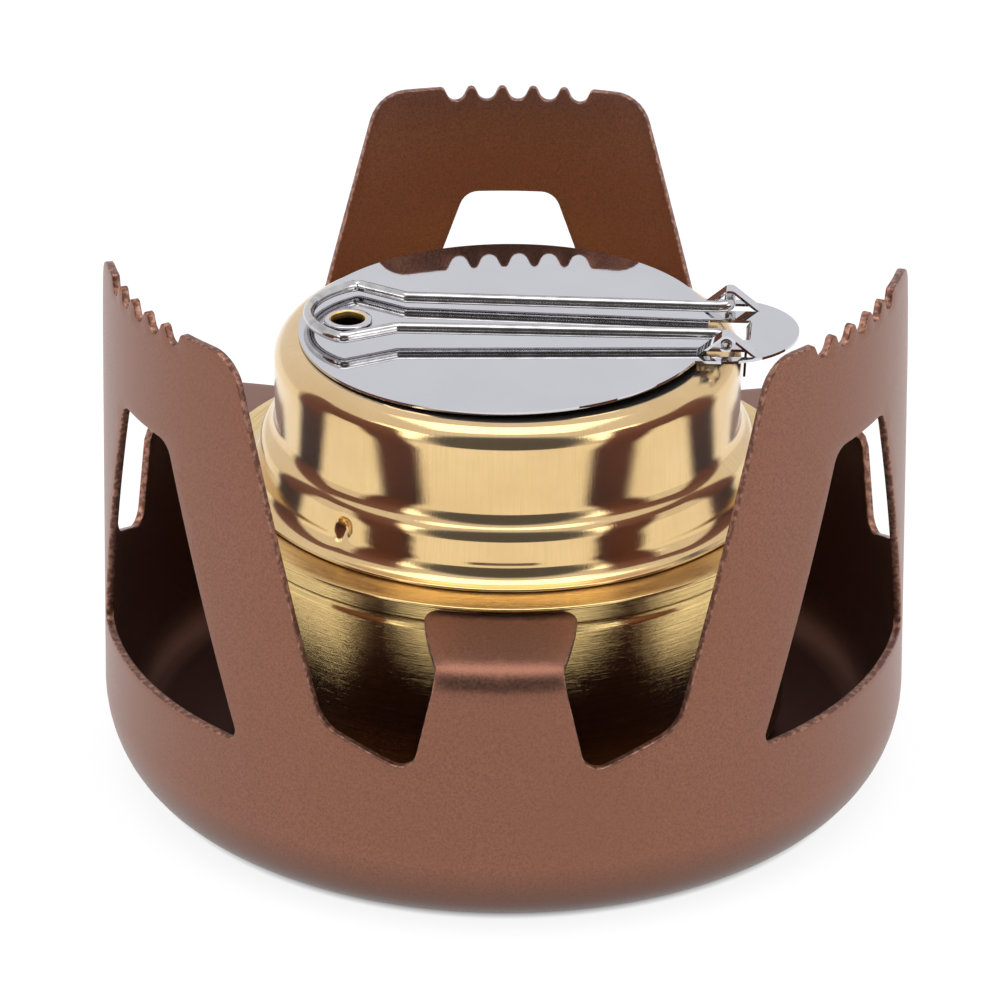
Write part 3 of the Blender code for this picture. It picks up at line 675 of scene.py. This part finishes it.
def lid_frame():
    """Matrix from the lid's own millimetre frame to the object's, in metres."""
    pivot = Vector((*pivot_spot(), PLATE_TOP)) * MM
    turn = Matrix.Rotation(math.radians(LID_TURN), 4, "Z")
    tilt = Matrix.Rotation(math.radians(-LID_TILT), 4, "Y")
    return Matrix.Translation(pivot) @ (turn @ tilt) @ Matrix.Translation(Vector((-PIVOT_X, 0.0, 0.0)) * MM)


def build_plate():
    """Mirror-bright lid: disc and thumb tab with rounded edges, pivot hole, ears, tongue."""
    meet = math.degrees(math.asin(THUMB_R / PLATE_R))
    outline = arc((0.0, 0.0), PLATE_R, meet, 360.0 - meet, 260)
    outline += arc((THUMB_X, 0.0), THUMB_R, -90.0, 90.0, 90)
    plate = prism("damper_plate_sheet", outline, -PLATE_SHEET, 0.0)
    cutters = [circle((PIVOT_X, 0.0), PIVOT_HOLE_R, 48)]
    cutters.append(rounded([
        (CUTOUT_FROM, -CUTOUT_HALF, 0.4), (CUTOUT_TO, -CUTOUT_HALF, 0.3),
        (CUTOUT_TO, CUTOUT_HALF, 0.3), (CUTOUT_FROM, CUTOUT_HALF, 0.4)], 6, True))
    start = EAR_X - EAR_HALF_SPAN
    end = EAR_X + EAR_HALF_SPAN
    for low, high in ((EAR_INNER, EAR_OUTER), (-EAR_OUTER, -EAR_INNER)):
        cutters.append([(start, low), (end, low), (end, high), (start, high)])
    for outline in cutters:
        combine(plate, prism("plate_cutter", outline, -2.0, 2.0), "DIFFERENCE")
    middle = -PLATE_SHEET / 2.0
    top = EAR_RISE - PLATE_SHEET / 2.0
    path = rounded([
        (start - 0.4, middle, 0.0), (start + 0.1, middle, 0.5), (EAR_X, top + 0.3, 0.9),
        (end - 0.1, middle, 0.5), (end + 0.4, middle, 0.0)], 10)
    for side in (1.0, -1.0):
        edges = sorted((side * (EAR_INNER + 0.1), side * (EAR_OUTER - 0.1)))
        combine(plate, ribbon("ear", path, EAR_SHEET, edges[0], edges[1]), "UNION")
    drop = rounded([
        (CUTOUT_TO + 0.5, middle, 0.0), (CUTOUT_TO - 0.5, middle, 0.8),
        (CUTOUT_TO - 0.75, -TONGUE_LENGTH, 0.0)], 8)
    combine(plate, ribbon("tongue", drop, EAR_SHEET, 0.3 - CUTOUT_HALF, CUTOUT_HALF - 0.3), "UNION")
    bevel = plate.modifiers.new("edges", "BEVEL")
    bevel.width = 0.09 * MM
    bevel.segments = 2
    bevel.limit_method = "ANGLE"
    bevel.angle_limit = math.radians(50.0)
    bevel.harden_normals = True
    plate.matrix_world = lid_frame()
    return plate


def ribbon(name, path, thickness, low_y, high_y):
    """A bent strip: path is (x, z) along its middle, the strip runs from low_y to high_y."""
    above = []
    below = []
    for i, here in enumerate(path):
        before = Vector(path[max(i - 1, 0)])
        after = Vector(path[min(i + 1, len(path) - 1)])
        along = (after - before).normalized()
        normal = Vector((-along.y, along.x)) * thickness / 2.0
        above.append(Vector(here) + normal)
        below.append(Vector(here) - normal)
    loop = above + below[::-1]
    count = len(loop)
    verts = [(p.x, low_y, p.y) for p in loop] + [(p.x, high_y, p.y) for p in loop]
    faces = []
    for i in range(len(path) - 1):
        j = count - 1 - i
        faces.append([i, i + 1, j - 1, j])
        faces.append([count + i, count + i + 1, count + j - 1, count + j])
    for i in range(count):
        j = (i + 1) % count
        faces.append([i, j, count + j, count + i])
    return new_object(name, verts, faces)


def build_pivot():
    """Hollow rivet with its rolled head, and the washer under the ring's roof."""
    pivot = Vector((*pivot_spot(), 0.0)) * MM
    flange_z = ROOF_Z - FLANGE_DEPTH
    section = rounded([
        (RIVET_BORE_R, flange_z, 0.1), (FLANGE_R, flange_z, 0.15), (FLANGE_R, flange_z + FLANGE_SHEET, 0.15),
        (RIVET_R, flange_z + FLANGE_SHEET, 0.1), (RIVET_R, PLATE_TOP + 0.25, 0.1),
        (HEAD_R, PLATE_TOP + 0.15, 0.12), (HEAD_R - 0.02, PLATE_TOP + 0.45, 0.2),
        (RIVET_R, PLATE_TOP + 0.58, 0.5),
        (RIVET_BORE_R, PLATE_TOP + 0.4, 0.2)], 6, True)
    rivet = lathe("pivot_eyelet_rolled", section, 96, 0.0)
    low = ROOF_Z - RING_SHEET - CLEAR - WASHER_SHEET
    section = rounded([
        (PIVOT_HOLE_R, low, 0.1), (WASHER_R, low, 0.15), (WASHER_R, low + WASHER_SHEET, 0.15),
        (PIVOT_HOLE_R, low + WASHER_SHEET, 0.1)], 4, True)
    washer = lathe("pivot_washer_ring", section, 96, 0.0)
    for piece in (rivet, washer):
        piece.location = pivot
    return rivet, washer


def wire_path():
    """Middle line of the folded wire in the lid's frame, from its near end round to its far end."""
    side = [
        (EAR_X, -EAR_OUTER + 0.4, HINGE_Z, 0.0),
        (EAR_X, -4.45, HINGE_Z, 0.9),
        (EAR_X - 1.4, -4.1, HINGE_Z, 1.2),
        (-12.7, -5.35, 1.72, 1.6),
        (-18.95, -8.75, 1.74, 0.9)]
    near_side = bend_round(side + [(-20.4, -7.7, 1.72, 0.0)])[:-1]
    far = [(x, -y, HINGE_Z if x > EAR_X - 2.0 else 1.04, r) for x, y, z, r in side]
    far_side = bend_round(far + [(-20.4, 7.7, 1.05, 0.0)])[:-1][::-1]
    loop = []
    for x, y in arc((-13.9, 0.0), 10.1, 236.0, 124.0, 40):
        loop.append(Vector((x, y, 1.4 - 0.36 * y / 10.1)))
    return near_side + loop + far_side


def bend_round(corners):
    """A line in space through (x, y, z, radius) corners, with each corner rounded."""
    points = [Vector(corners[0][:3])]
    for before, corner, after in zip(corners, corners[1:], corners[2:]):
        here = Vector(corner[:3])
        back = Vector(before[:3]) - here
        ahead = Vector(after[:3]) - here
        half = back.angle(ahead) / 2.0
        reach = min(corner[3] / math.tan(half), 0.45 * back.length, 0.45 * ahead.length)
        start = here + back.normalized() * reach
        end = here + ahead.normalized() * reach
        for i in range(9):
            t = i / 8.0
            points.append(start * (1 - t) ** 2 + here * 2.0 * t * (1 - t) + end * t * t)
    points.append(Vector(corners[-1][:3]))
    return points


def build_wire():
    """Bent wire handle as a smooth tube with domed ends."""
    path = wire_path()
    fine = [path[0]]
    for a, b in zip(path, path[1:]):
        pieces = max(1, math.ceil((b - a).length / 1.0))
        fine += [a + (b - a) * (i / pieces) for i in range(1, pieces + 1)]
    up = Vector((0.0, 0.0, 1.0))
    verts = []
    rings = []
    last = len(fine) - 1

    def add_ring(centre, along, radius):
        across = along.cross(up).normalized()
        rise = across.cross(along)
        rings.append(len(verts))
        for k in range(WIRE_SIDES):
            a = 2.0 * math.pi * k / WIRE_SIDES
            verts.append(centre + (across * math.cos(a) + rise * math.sin(a)) * radius)

    def add_dome_ring(end, along, inward, degrees):
        a = math.radians(degrees)
        add_ring(end + inward * 0.25 * (1.0 - math.sin(a)), along, WIRE_R * math.cos(a) ** 0.5)

    first_run = (fine[1] - fine[0]).normalized()
    last_run = (fine[last] - fine[last - 1]).normalized()
    for degrees in WIRE_DOME:
        add_dome_ring(fine[0], first_run, first_run, degrees)
    for i in range(1, last):
        along = (fine[i + 1] - fine[i - 1]).normalized()
        add_ring(fine[i], along, WIRE_R)
    for degrees in reversed(WIRE_DOME):
        add_dome_ring(fine[last], last_run, -last_run, degrees)
    faces = [list(range(WIRE_SIDES)), [rings[-1] + k for k in range(WIRE_SIDES)]]
    for low, high in zip(rings, rings[1:]):
        for k in range(WIRE_SIDES):
            n = (k + 1) % WIRE_SIDES
            faces.append([low + k, low + n, high + n, high + k])
    wire = new_object("wire_handle_tube", verts, faces, 60.0)
    wire.matrix_world = lid_frame()
    return wire


# ---------------------------------------------------------------------------------------------
# Materials

class Nodes:
    """A short way to build one material's node tree."""

    def __init__(self, name):
        self.material = bpy.data.materials.new(name)
        self.material.use_nodes = True
        self.tree = self.material.node_tree
        self.shader = self.tree.nodes["Principled BSDF"]
        self.place = self.add("ShaderNodeTexCoord").outputs["Object"]

    def add(self, kind, inputs=None, **settings):
        """A node with its settings and its inputs, each a value or another node's output."""
        node = self.tree.nodes.new(kind)
        for key, value in settings.items():
            setattr(node, key, value)
        for key, value in (inputs or {}).items():
            self.feed(node.inputs[key], value)
        return node

    def feed(self, socket, value):
        """Link an output to a socket, or set the socket's value."""
        if isinstance(value, bpy.types.NodeSocket):
            self.tree.links.new(value, socket)
        else:
            socket.default_value = value

    def math(self, operation, a, b=0.0):
        """One step of arithmetic."""
        return self.add("ShaderNodeMath", {0: a, 1: b}, operation=operation).outputs[0]

    def noise(self, scale, detail=2.0, vector=None, rough=0.5):
        """Soft noise from 0 to 1, on the object's coordinates unless others are given."""
        inputs = {"Vector": vector or self.place, "Scale": scale, "Detail": detail, "Roughness": rough}
        return self.add("ShaderNodeTexNoise", inputs).outputs["Fac"]

    def range(self, value, low, high, out_low, out_high):
        """The value's run from low to high, stretched to out_low to out_high and held there."""
        inputs = {"Value": value, "From Min": low, "From Max": high, "To Min": out_low, "To Max": out_high}
        return self.add("ShaderNodeMapRange", inputs).outputs["Result"]

    def mix(self, factor, a, b):
        """Colour a where the factor is 0, and colour b where it is 1."""
        node = self.add("ShaderNodeMix", data_type="RGBA")
        self.feed(node.inputs[0], factor)
        self.feed(node.inputs[6], a)
        self.feed(node.inputs[7], b)
        return node.outputs[2]

    def stretch(self, scale):
        """The object's coordinates, scaled differently along each axis."""
        return self.add("ShaderNodeMapping", {"Vector": self.place, "Scale": scale}).outputs[0]

    def axis_distance(self, x, y):
        """Distance of a point from the vertical axis."""
        squares = self.math("ADD", self.math("MULTIPLY", x, x), self.math("MULTIPLY", y, y))
        return self.math("SQRT", squares)

    def round_axis(self, centre_x, along, across):
        """Coordinates wrapped round the vertical axis at centre_x: the angle times along, and
        height plus radius times across, so that marks run round walls and flats alike."""
        parts = self.add("ShaderNodeSeparateXYZ", {0: self.place})
        x = self.math("SUBTRACT", parts.outputs[0], centre_x)
        angle = self.math("ARCTAN2", parts.outputs[1], x)
        spot = {0: self.math("COSINE", angle), 1: self.math("SINE", angle)}
        wide = {0: self.math("MULTIPLY", spot[0], along), 1: self.math("MULTIPLY", spot[1], along)}
        radius = self.axis_distance(x, parts.outputs[1])
        wide[2] = self.math("MULTIPLY", self.math("ADD", parts.outputs[2], radius), across)
        return self.add("ShaderNodeCombineXYZ", wide).outputs[0]

    def bump(self, height, strength, distance, normal=None):
        """A surface normal tipped by a height, on top of another normal if one is given."""
        inputs = {"Height": height, "Strength": strength, "Distance": distance}
        node = self.add("ShaderNodeBump", inputs)
        if normal is not None:
            self.feed(node.inputs["Normal"], normal)
        return node.outputs["Normal"]

    def finish(self, colour, roughness, normal=None, metallic=1.0, **sockets):
        """Feed the shader and return the material; further sockets are set by name."""
        self.feed(self.shader.inputs["Base Color"], colour)
        self.feed(self.shader.inputs["Roughness"], roughness)
        self.shader.inputs["Metallic"].default_value = metallic
        if normal is not None:
            self.feed(self.shader.inputs["Normal"], normal)
        for key, value in sockets.items():
            self.shader.inputs[key.replace("_", " ")].default_value = value
        return self.material


def bronze_paint():
    """Satin bronze paint: fine sparkle grain, slight cloudiness, cut edges patched paler and darker as
    painted highlight and shade, and painted shade darkening the foot.
    """
    m = Nodes("bronze_paint")
    grain = m.noise(3600.0, 2.0)
    cloud = m.noise(55.0, 3.0)
    speck = m.range(grain, 0.32, 0.68, 0.0, 1.0)
    colour = m.mix(speck, (0.192, 0.079, 0.048, 1.0), (0.280, 0.119, 0.074, 1.0))
    colour = m.mix(m.range(cloud, 0.35, 0.7, 0.0, 0.35), colour, (0.225, 0.090, 0.052, 1.0))
    edge = m.add("ShaderNodeAttribute", attribute_name="cut_edge").outputs["Fac"]
    # Painted highlight and painted shade on the cut edges: patches paler and darker than the face.
    painted_edge_light_patches = m.range(m.noise(1500.0, 3.0), 0.45, 0.62, 0.0, 1.0)
    wear_and_painted_edge_light = m.mix(painted_edge_light_patches, (0.13, 0.055, 0.038, 1.0), (0.46, 0.24, 0.17, 1.0))
    colour = m.mix(m.math("MULTIPLY", edge, 0.7), colour, wear_and_painted_edge_light)
    # Painted shade: the paint darkens towards the foot, over the lowest 9 mm.
    height = m.add("ShaderNodeSeparateXYZ", {0: m.place}).outputs[2]
    painted_foot_shade = m.range(height, 1.0 * MM, 9.0 * MM, 0.85, 0.0)
    colour = m.mix(painted_foot_shade, colour, (0.055, 0.024, 0.016, 1.0))
    rough = m.range(grain, 0.3, 0.7, 0.33, 0.45)
    normal = m.bump(grain, 0.35, 0.00004)
    return m.finish(colour, rough, normal, 1.0, Coat_Weight=0.45, Coat_Roughness=0.6)


def brushed_brass():
    """Burner brass: dull, turned brush streaks, faint tarnish."""
    m = Nodes("brushed_brass")
    streak_place = m.round_axis(BURNER_X * MM, 0.02, 80.0)
    streaks = m.noise(130.0, 5.0, streak_place, 0.75)
    tarnish = m.noise(110.0, 4.0)
    shine = m.range(streaks, 0.38, 0.62, 0.0, 1.0)
    colour = m.mix(shine, (0.64, 0.445, 0.17, 1.0), (0.90, 0.65, 0.27, 1.0))
    colour = m.mix(m.range(tarnish, 0.45, 0.7, 0.0, 0.35), colour, (0.62, 0.42, 0.15, 1.0))
    rough = m.range(streaks, 0.35, 0.65, 0.07, 0.15)
    normal = m.bump(streaks, 0.5, 0.00006)
    return m.finish(colour, rough, normal, 1.0, Coat_Weight=0.6, Coat_Roughness=0.5)


def polished_brass():
    """Simmer ring brass: bright, with hair-fine draw marks and faint smudges."""
    m = Nodes("polished_brass")
    marks = m.noise(260.0, 6.0, m.round_axis(BURNER_X * MM, 0.8, 0.5), 0.72)
    smudge = m.noise(140.0, 4.0)
    dull = m.range(smudge, 0.35, 0.7, 0.0, 1.0)
    colour = m.mix(dull, (0.80, 0.555, 0.265, 1.0), (0.73, 0.49, 0.225, 1.0))
    colour = m.mix(m.range(marks, 0.42, 0.66, 0.0, 0.45), colour, (0.66, 0.47, 0.17, 1.0))
    weave = m.noise(2400.0, 1.0, m.round_axis(BURNER_X * MM, 1.0, 0.7))
    rough = m.range(m.math("ADD", marks, smudge), 0.75, 1.25, 0.04, 0.11)
    normal = m.bump(weave, 0.05, 0.00002, m.bump(marks, 0.16, 0.00004))
    return m.finish(colour, rough, normal, 1.0, Coat_Weight=1.0, Coat_Roughness=0.5)


def bright_steel():
    """Mirror-bright sheet with a few fine scratches."""
    m = Nodes("bright_steel")
    stretched = m.stretch((60.0, 2600.0, 60.0))
    scratches = m.noise(1.0, 3.0, stretched)
    cloud = m.noise(70.0, 3.0)
    haze = m.range(cloud, 0.3, 0.7, 0.0, 1.0)
    colour = m.mix(haze, (0.615, 0.61, 0.635, 1.0), (0.655, 0.65, 0.675, 1.0))
    rough = m.range(scratches, 0.35, 0.75, 0.01, 0.05)
    normal = m.bump(scratches, 0.02, 0.00002)
    return m.finish(colour, rough, normal)


def rivet_steel():
    """Rolled steel rivet, its bore warm brass colour at the lip and darkened further down as painted shade.
    """
    m = Nodes("rivet_steel")
    parts = m.add("ShaderNodeSeparateXYZ", {0: m.place})
    away = m.axis_distance(parts.outputs[0], parts.outputs[1])
    bore = m.range(away, (RIVET_BORE_R + 0.1) * MM, (RIVET_BORE_R + 0.2) * MM, 1.0, 0.0)
    cloud = m.noise(500.0, 3.0)
    steel = m.mix(cloud, (0.62, 0.61, 0.64, 1.0), (0.66, 0.65, 0.67, 1.0))
    # Painted shade inside the bore: its colour goes dark below the lip.
    depth = m.range(parts.outputs[2], (PLATE_TOP - 0.5) * MM, (PLATE_TOP + 0.1) * MM, 1.0, 0.0)
    bore_brass_and_painted_shade = m.mix(depth, (0.93, 0.66, 0.24, 1.0), (0.045, 0.028, 0.016, 1.0))
    colour = m.mix(bore, steel, bore_brass_and_painted_shade)
    rough = m.range(bore, 0.0, 1.0, 0.06, 0.42)
    return m.finish(colour, rough, m.bump(cloud, 0.1, 0.00003))


def steel_wire():
    """Drawn wire: grey steel with lengthwise die marks and small dents."""
    m = Nodes("steel_wire")
    stretched = m.stretch((120.0, 4200.0, 4200.0))
    marks = m.noise(1.0, 3.0, stretched)
    dents = m.noise(520.0, 2.0)
    wear_and_painted_edge_light = m.range(dents, 0.4, 0.7, 0.0, 1.0)
    colour = m.mix(wear_and_painted_edge_light, (0.60, 0.59, 0.58, 1.0), (0.42, 0.41, 0.40, 1.0))
    rough = m.range(marks, 0.3, 0.7, 0.08, 0.2)
    normal = m.bump(m.math("ADD", marks, dents), 0.12, 0.00005)
    return m.finish(colour, rough, normal)


def cotton():
    """Undyed cotton wadding."""
    m = Nodes("cotton")
    fibres = m.noise(1500.0, 5.0, None, 0.8)
    colour = m.mix(fibres, (0.74, 0.70, 0.60, 1.0), (0.92, 0.90, 0.83, 1.0))
    normal = m.bump(fibres, 0.9, 0.0003)
    material = m.finish(colour, 0.95, normal, 0.0)
    m.shader.inputs["Sheen Weight"].default_value = 0.4
    return material


def floor_material():
    """Plain pale light-table floor, with its glow off and its colour dark under the stove as a painted
    shadow.
    """
    m = Nodes("studio_floor")
    parts = m.add("ShaderNodeSeparateXYZ", {0: m.place})
    away = m.axis_distance(parts.outputs[0], parts.outputs[1])
    # Painted shadow under the stove: no glow and a dark colour inside the reach.
    clear = m.range(away, PAINTED_FLOOR_SHADOW_REACH[0] * MM, PAINTED_FLOOR_SHADOW_REACH[1] * MM, 0.0, 1.0)
    colour = m.mix(clear, (0.05, 0.05, 0.05, 1.0), (0.20, 0.20, 0.20, 1.0))
    m.feed(m.shader.inputs["Emission Color"], (1.0, 1.0, 1.0, 1.0))
    m.feed(m.shader.inputs["Emission Strength"], m.math("MULTIPLY", clear, FLOOR_GLOW))
    return m.finish(colour, 0.8, None, 0.0, Specular_IOR_Level=0.0)


# ---------------------------------------------------------------------------------------------
# Stage

def build_floor():
    """A large pale floor under the stove."""
    corners = ((-1.0, -1.0), (1.0, -1.0), (1.0, 1.0), (-1.0, 1.0))
    verts = [(x * FLOOR_HALF, y * FLOOR_HALF, FLOOR_Z) for x, y in corners]
    floor = new_object("studio_floor", verts, [[0, 1, 2, 3]])
    floor.data.materials.append(floor_material())


def add_light(name, place, aim, size, power):
    """A soft rectangular light; place, aim and size in millimetres."""
    data = bpy.data.lights.new(name, "AREA")
    data.shape = "RECTANGLE"
    data.size = size[0] * MM
    data.size_y = size[1] * MM
    data.energy = power
    lamp = bpy.data.objects.new(name, data)
    bpy.context.scene.collection.objects.link(lamp)
    lamp.location = Vector(place) * MM
    towards = (Vector(aim) - Vector(place)).normalized()
    lamp.rotation_euler = towards.to_track_quat("-Z", "Y").to_euler()


def build_world():
    """A pale room with a dark opening in front, where the photographer stands."""
    world = bpy.data.worlds.new("studio")
    world.use_nodes = True
    tree = world.node_tree
    background = tree.nodes["Background"]
    place = tree.nodes.new("ShaderNodeTexCoord").outputs["Generated"]
    facing = tree.nodes.new("ShaderNodeVectorMath")
    facing.operation = "DOT_PRODUCT"
    tree.links.new(place, facing.inputs[0])
    lift = math.radians(DARK_ELEVATION)
    facing.inputs[1].default_value = (0.0, -math.cos(lift), math.sin(lift))
    blend = tree.nodes.new("ShaderNodeMapRange")
    blend.interpolation_type = "SMOOTHSTEP"
    tree.links.new(facing.outputs["Value"], blend.inputs["Value"])
    blend.inputs["From Min"].default_value = math.cos(math.radians(DARK_REACH + DARK_SOFT))
    blend.inputs["From Max"].default_value = math.cos(math.radians(DARK_REACH - DARK_SOFT))
    mix = tree.nodes.new("ShaderNodeMix")
    mix.data_type = "RGBA"
    tree.links.new(blend.outputs["Result"], mix.inputs[0])
    mix.inputs[6].default_value = ROOM_COLOUR
    mix.inputs[7].default_value = DARK_COLOUR
    seen = tree.nodes.new("ShaderNodeLightPath").outputs["Is Camera Ray"]
    backdrop = tree.nodes.new("ShaderNodeMix")
    backdrop.data_type = "RGBA"
    tree.links.new(seen, backdrop.inputs[0])
    tree.links.new(mix.outputs[2], backdrop.inputs[6])
    backdrop.inputs[7].default_value = (1.0, 1.0, 1.0, 1.0)
    tree.links.new(backdrop.outputs[2], background.inputs["Color"])
    background.inputs["Strength"].default_value = 1.0
    bpy.context.scene.world = world


def build_lights():
    """Soft light from above and from both front corners."""
    add_light("top_softbox", (0.0, 0.0, 1100.0), (0.0, 0.0, 0.0), (900.0, 700.0), 3.6)
    add_light("left_softbox", (-620.0, -420.0, 380.0), (0.0, 0.0, 30.0), (360.0, 420.0), 0.9)
    add_light("right_softbox", (620.0, -420.0, 380.0), (0.0, 0.0, 30.0), (360.0, 420.0), 0.9)


def build_camera():
    """Camera at the photo's angle."""
    data = bpy.data.cameras.new("camera")
    data.lens = CAMERA_LENS
    data.sensor_width = 36.0
    data.clip_start = 0.01
    data.clip_end = 50.0
    camera = bpy.data.objects.new("camera", data)
    bpy.context.scene.collection.objects.link(camera)
    spin = Matrix.Rotation(math.radians(CAMERA_TURN), 4, "Z")
    tilt = Matrix.Rotation(math.radians(90.0 - CAMERA_ELEVATION), 4, "X")
    roll = Matrix.Rotation(math.radians(CAMERA_ROLL), 4, "Z")
    aim = spin @ Vector(CAMERA_AIM)
    offset = spin @ tilt @ Vector((0.0, 0.0, CAMERA_DISTANCE))
    camera.matrix_world = Matrix.Translation((aim + offset) * MM) @ spin @ tilt @ roll
    bpy.context.scene.camera = camera


def place(piece, body, slot, material, node):
    """Give a piece its material and body, and hide the CAD node it stands for; slot is not used."""
    piece.data.materials.clear()
    piece.data.materials.append(material)
    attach(piece, body)
    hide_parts(node)


def main():
    """Stage first, then each piece on its body, in the CAD node's place."""
    build_camera()
    build_floor()
    build_world()
    build_lights()
    brass = brushed_brass()
    place(build_stand(), "stand", "bronze_paint", bronze_paint(), "pot_stand")
    place(build_burner_cup(), "burner", "brushed_brass", brass, "burner_cup")
    place(build_burner_collar(), "burner", "brushed_brass", brass, "burner_collar")
    place(build_wick(), "burner", "cotton", cotton(), "wick")
    place(build_ring(), "regulator", "polished_brass", polished_brass(), "regulator_ring")
    rivet, washer = build_pivot()
    place(rivet, "regulator", "bright_steel", rivet_steel(), "pivot_eyelet")
    place(washer, "regulator", "brushed_brass", brass, "pivot_washer")
    place(build_plate(), "damper", "bright_steel", bright_steel(), "damper_plate")
    place(build_wire(), "handle", "steel_wire", steel_wire(), "wire_handle")
    bpy.context.scene.view_settings.view_transform = "Standard"


main()
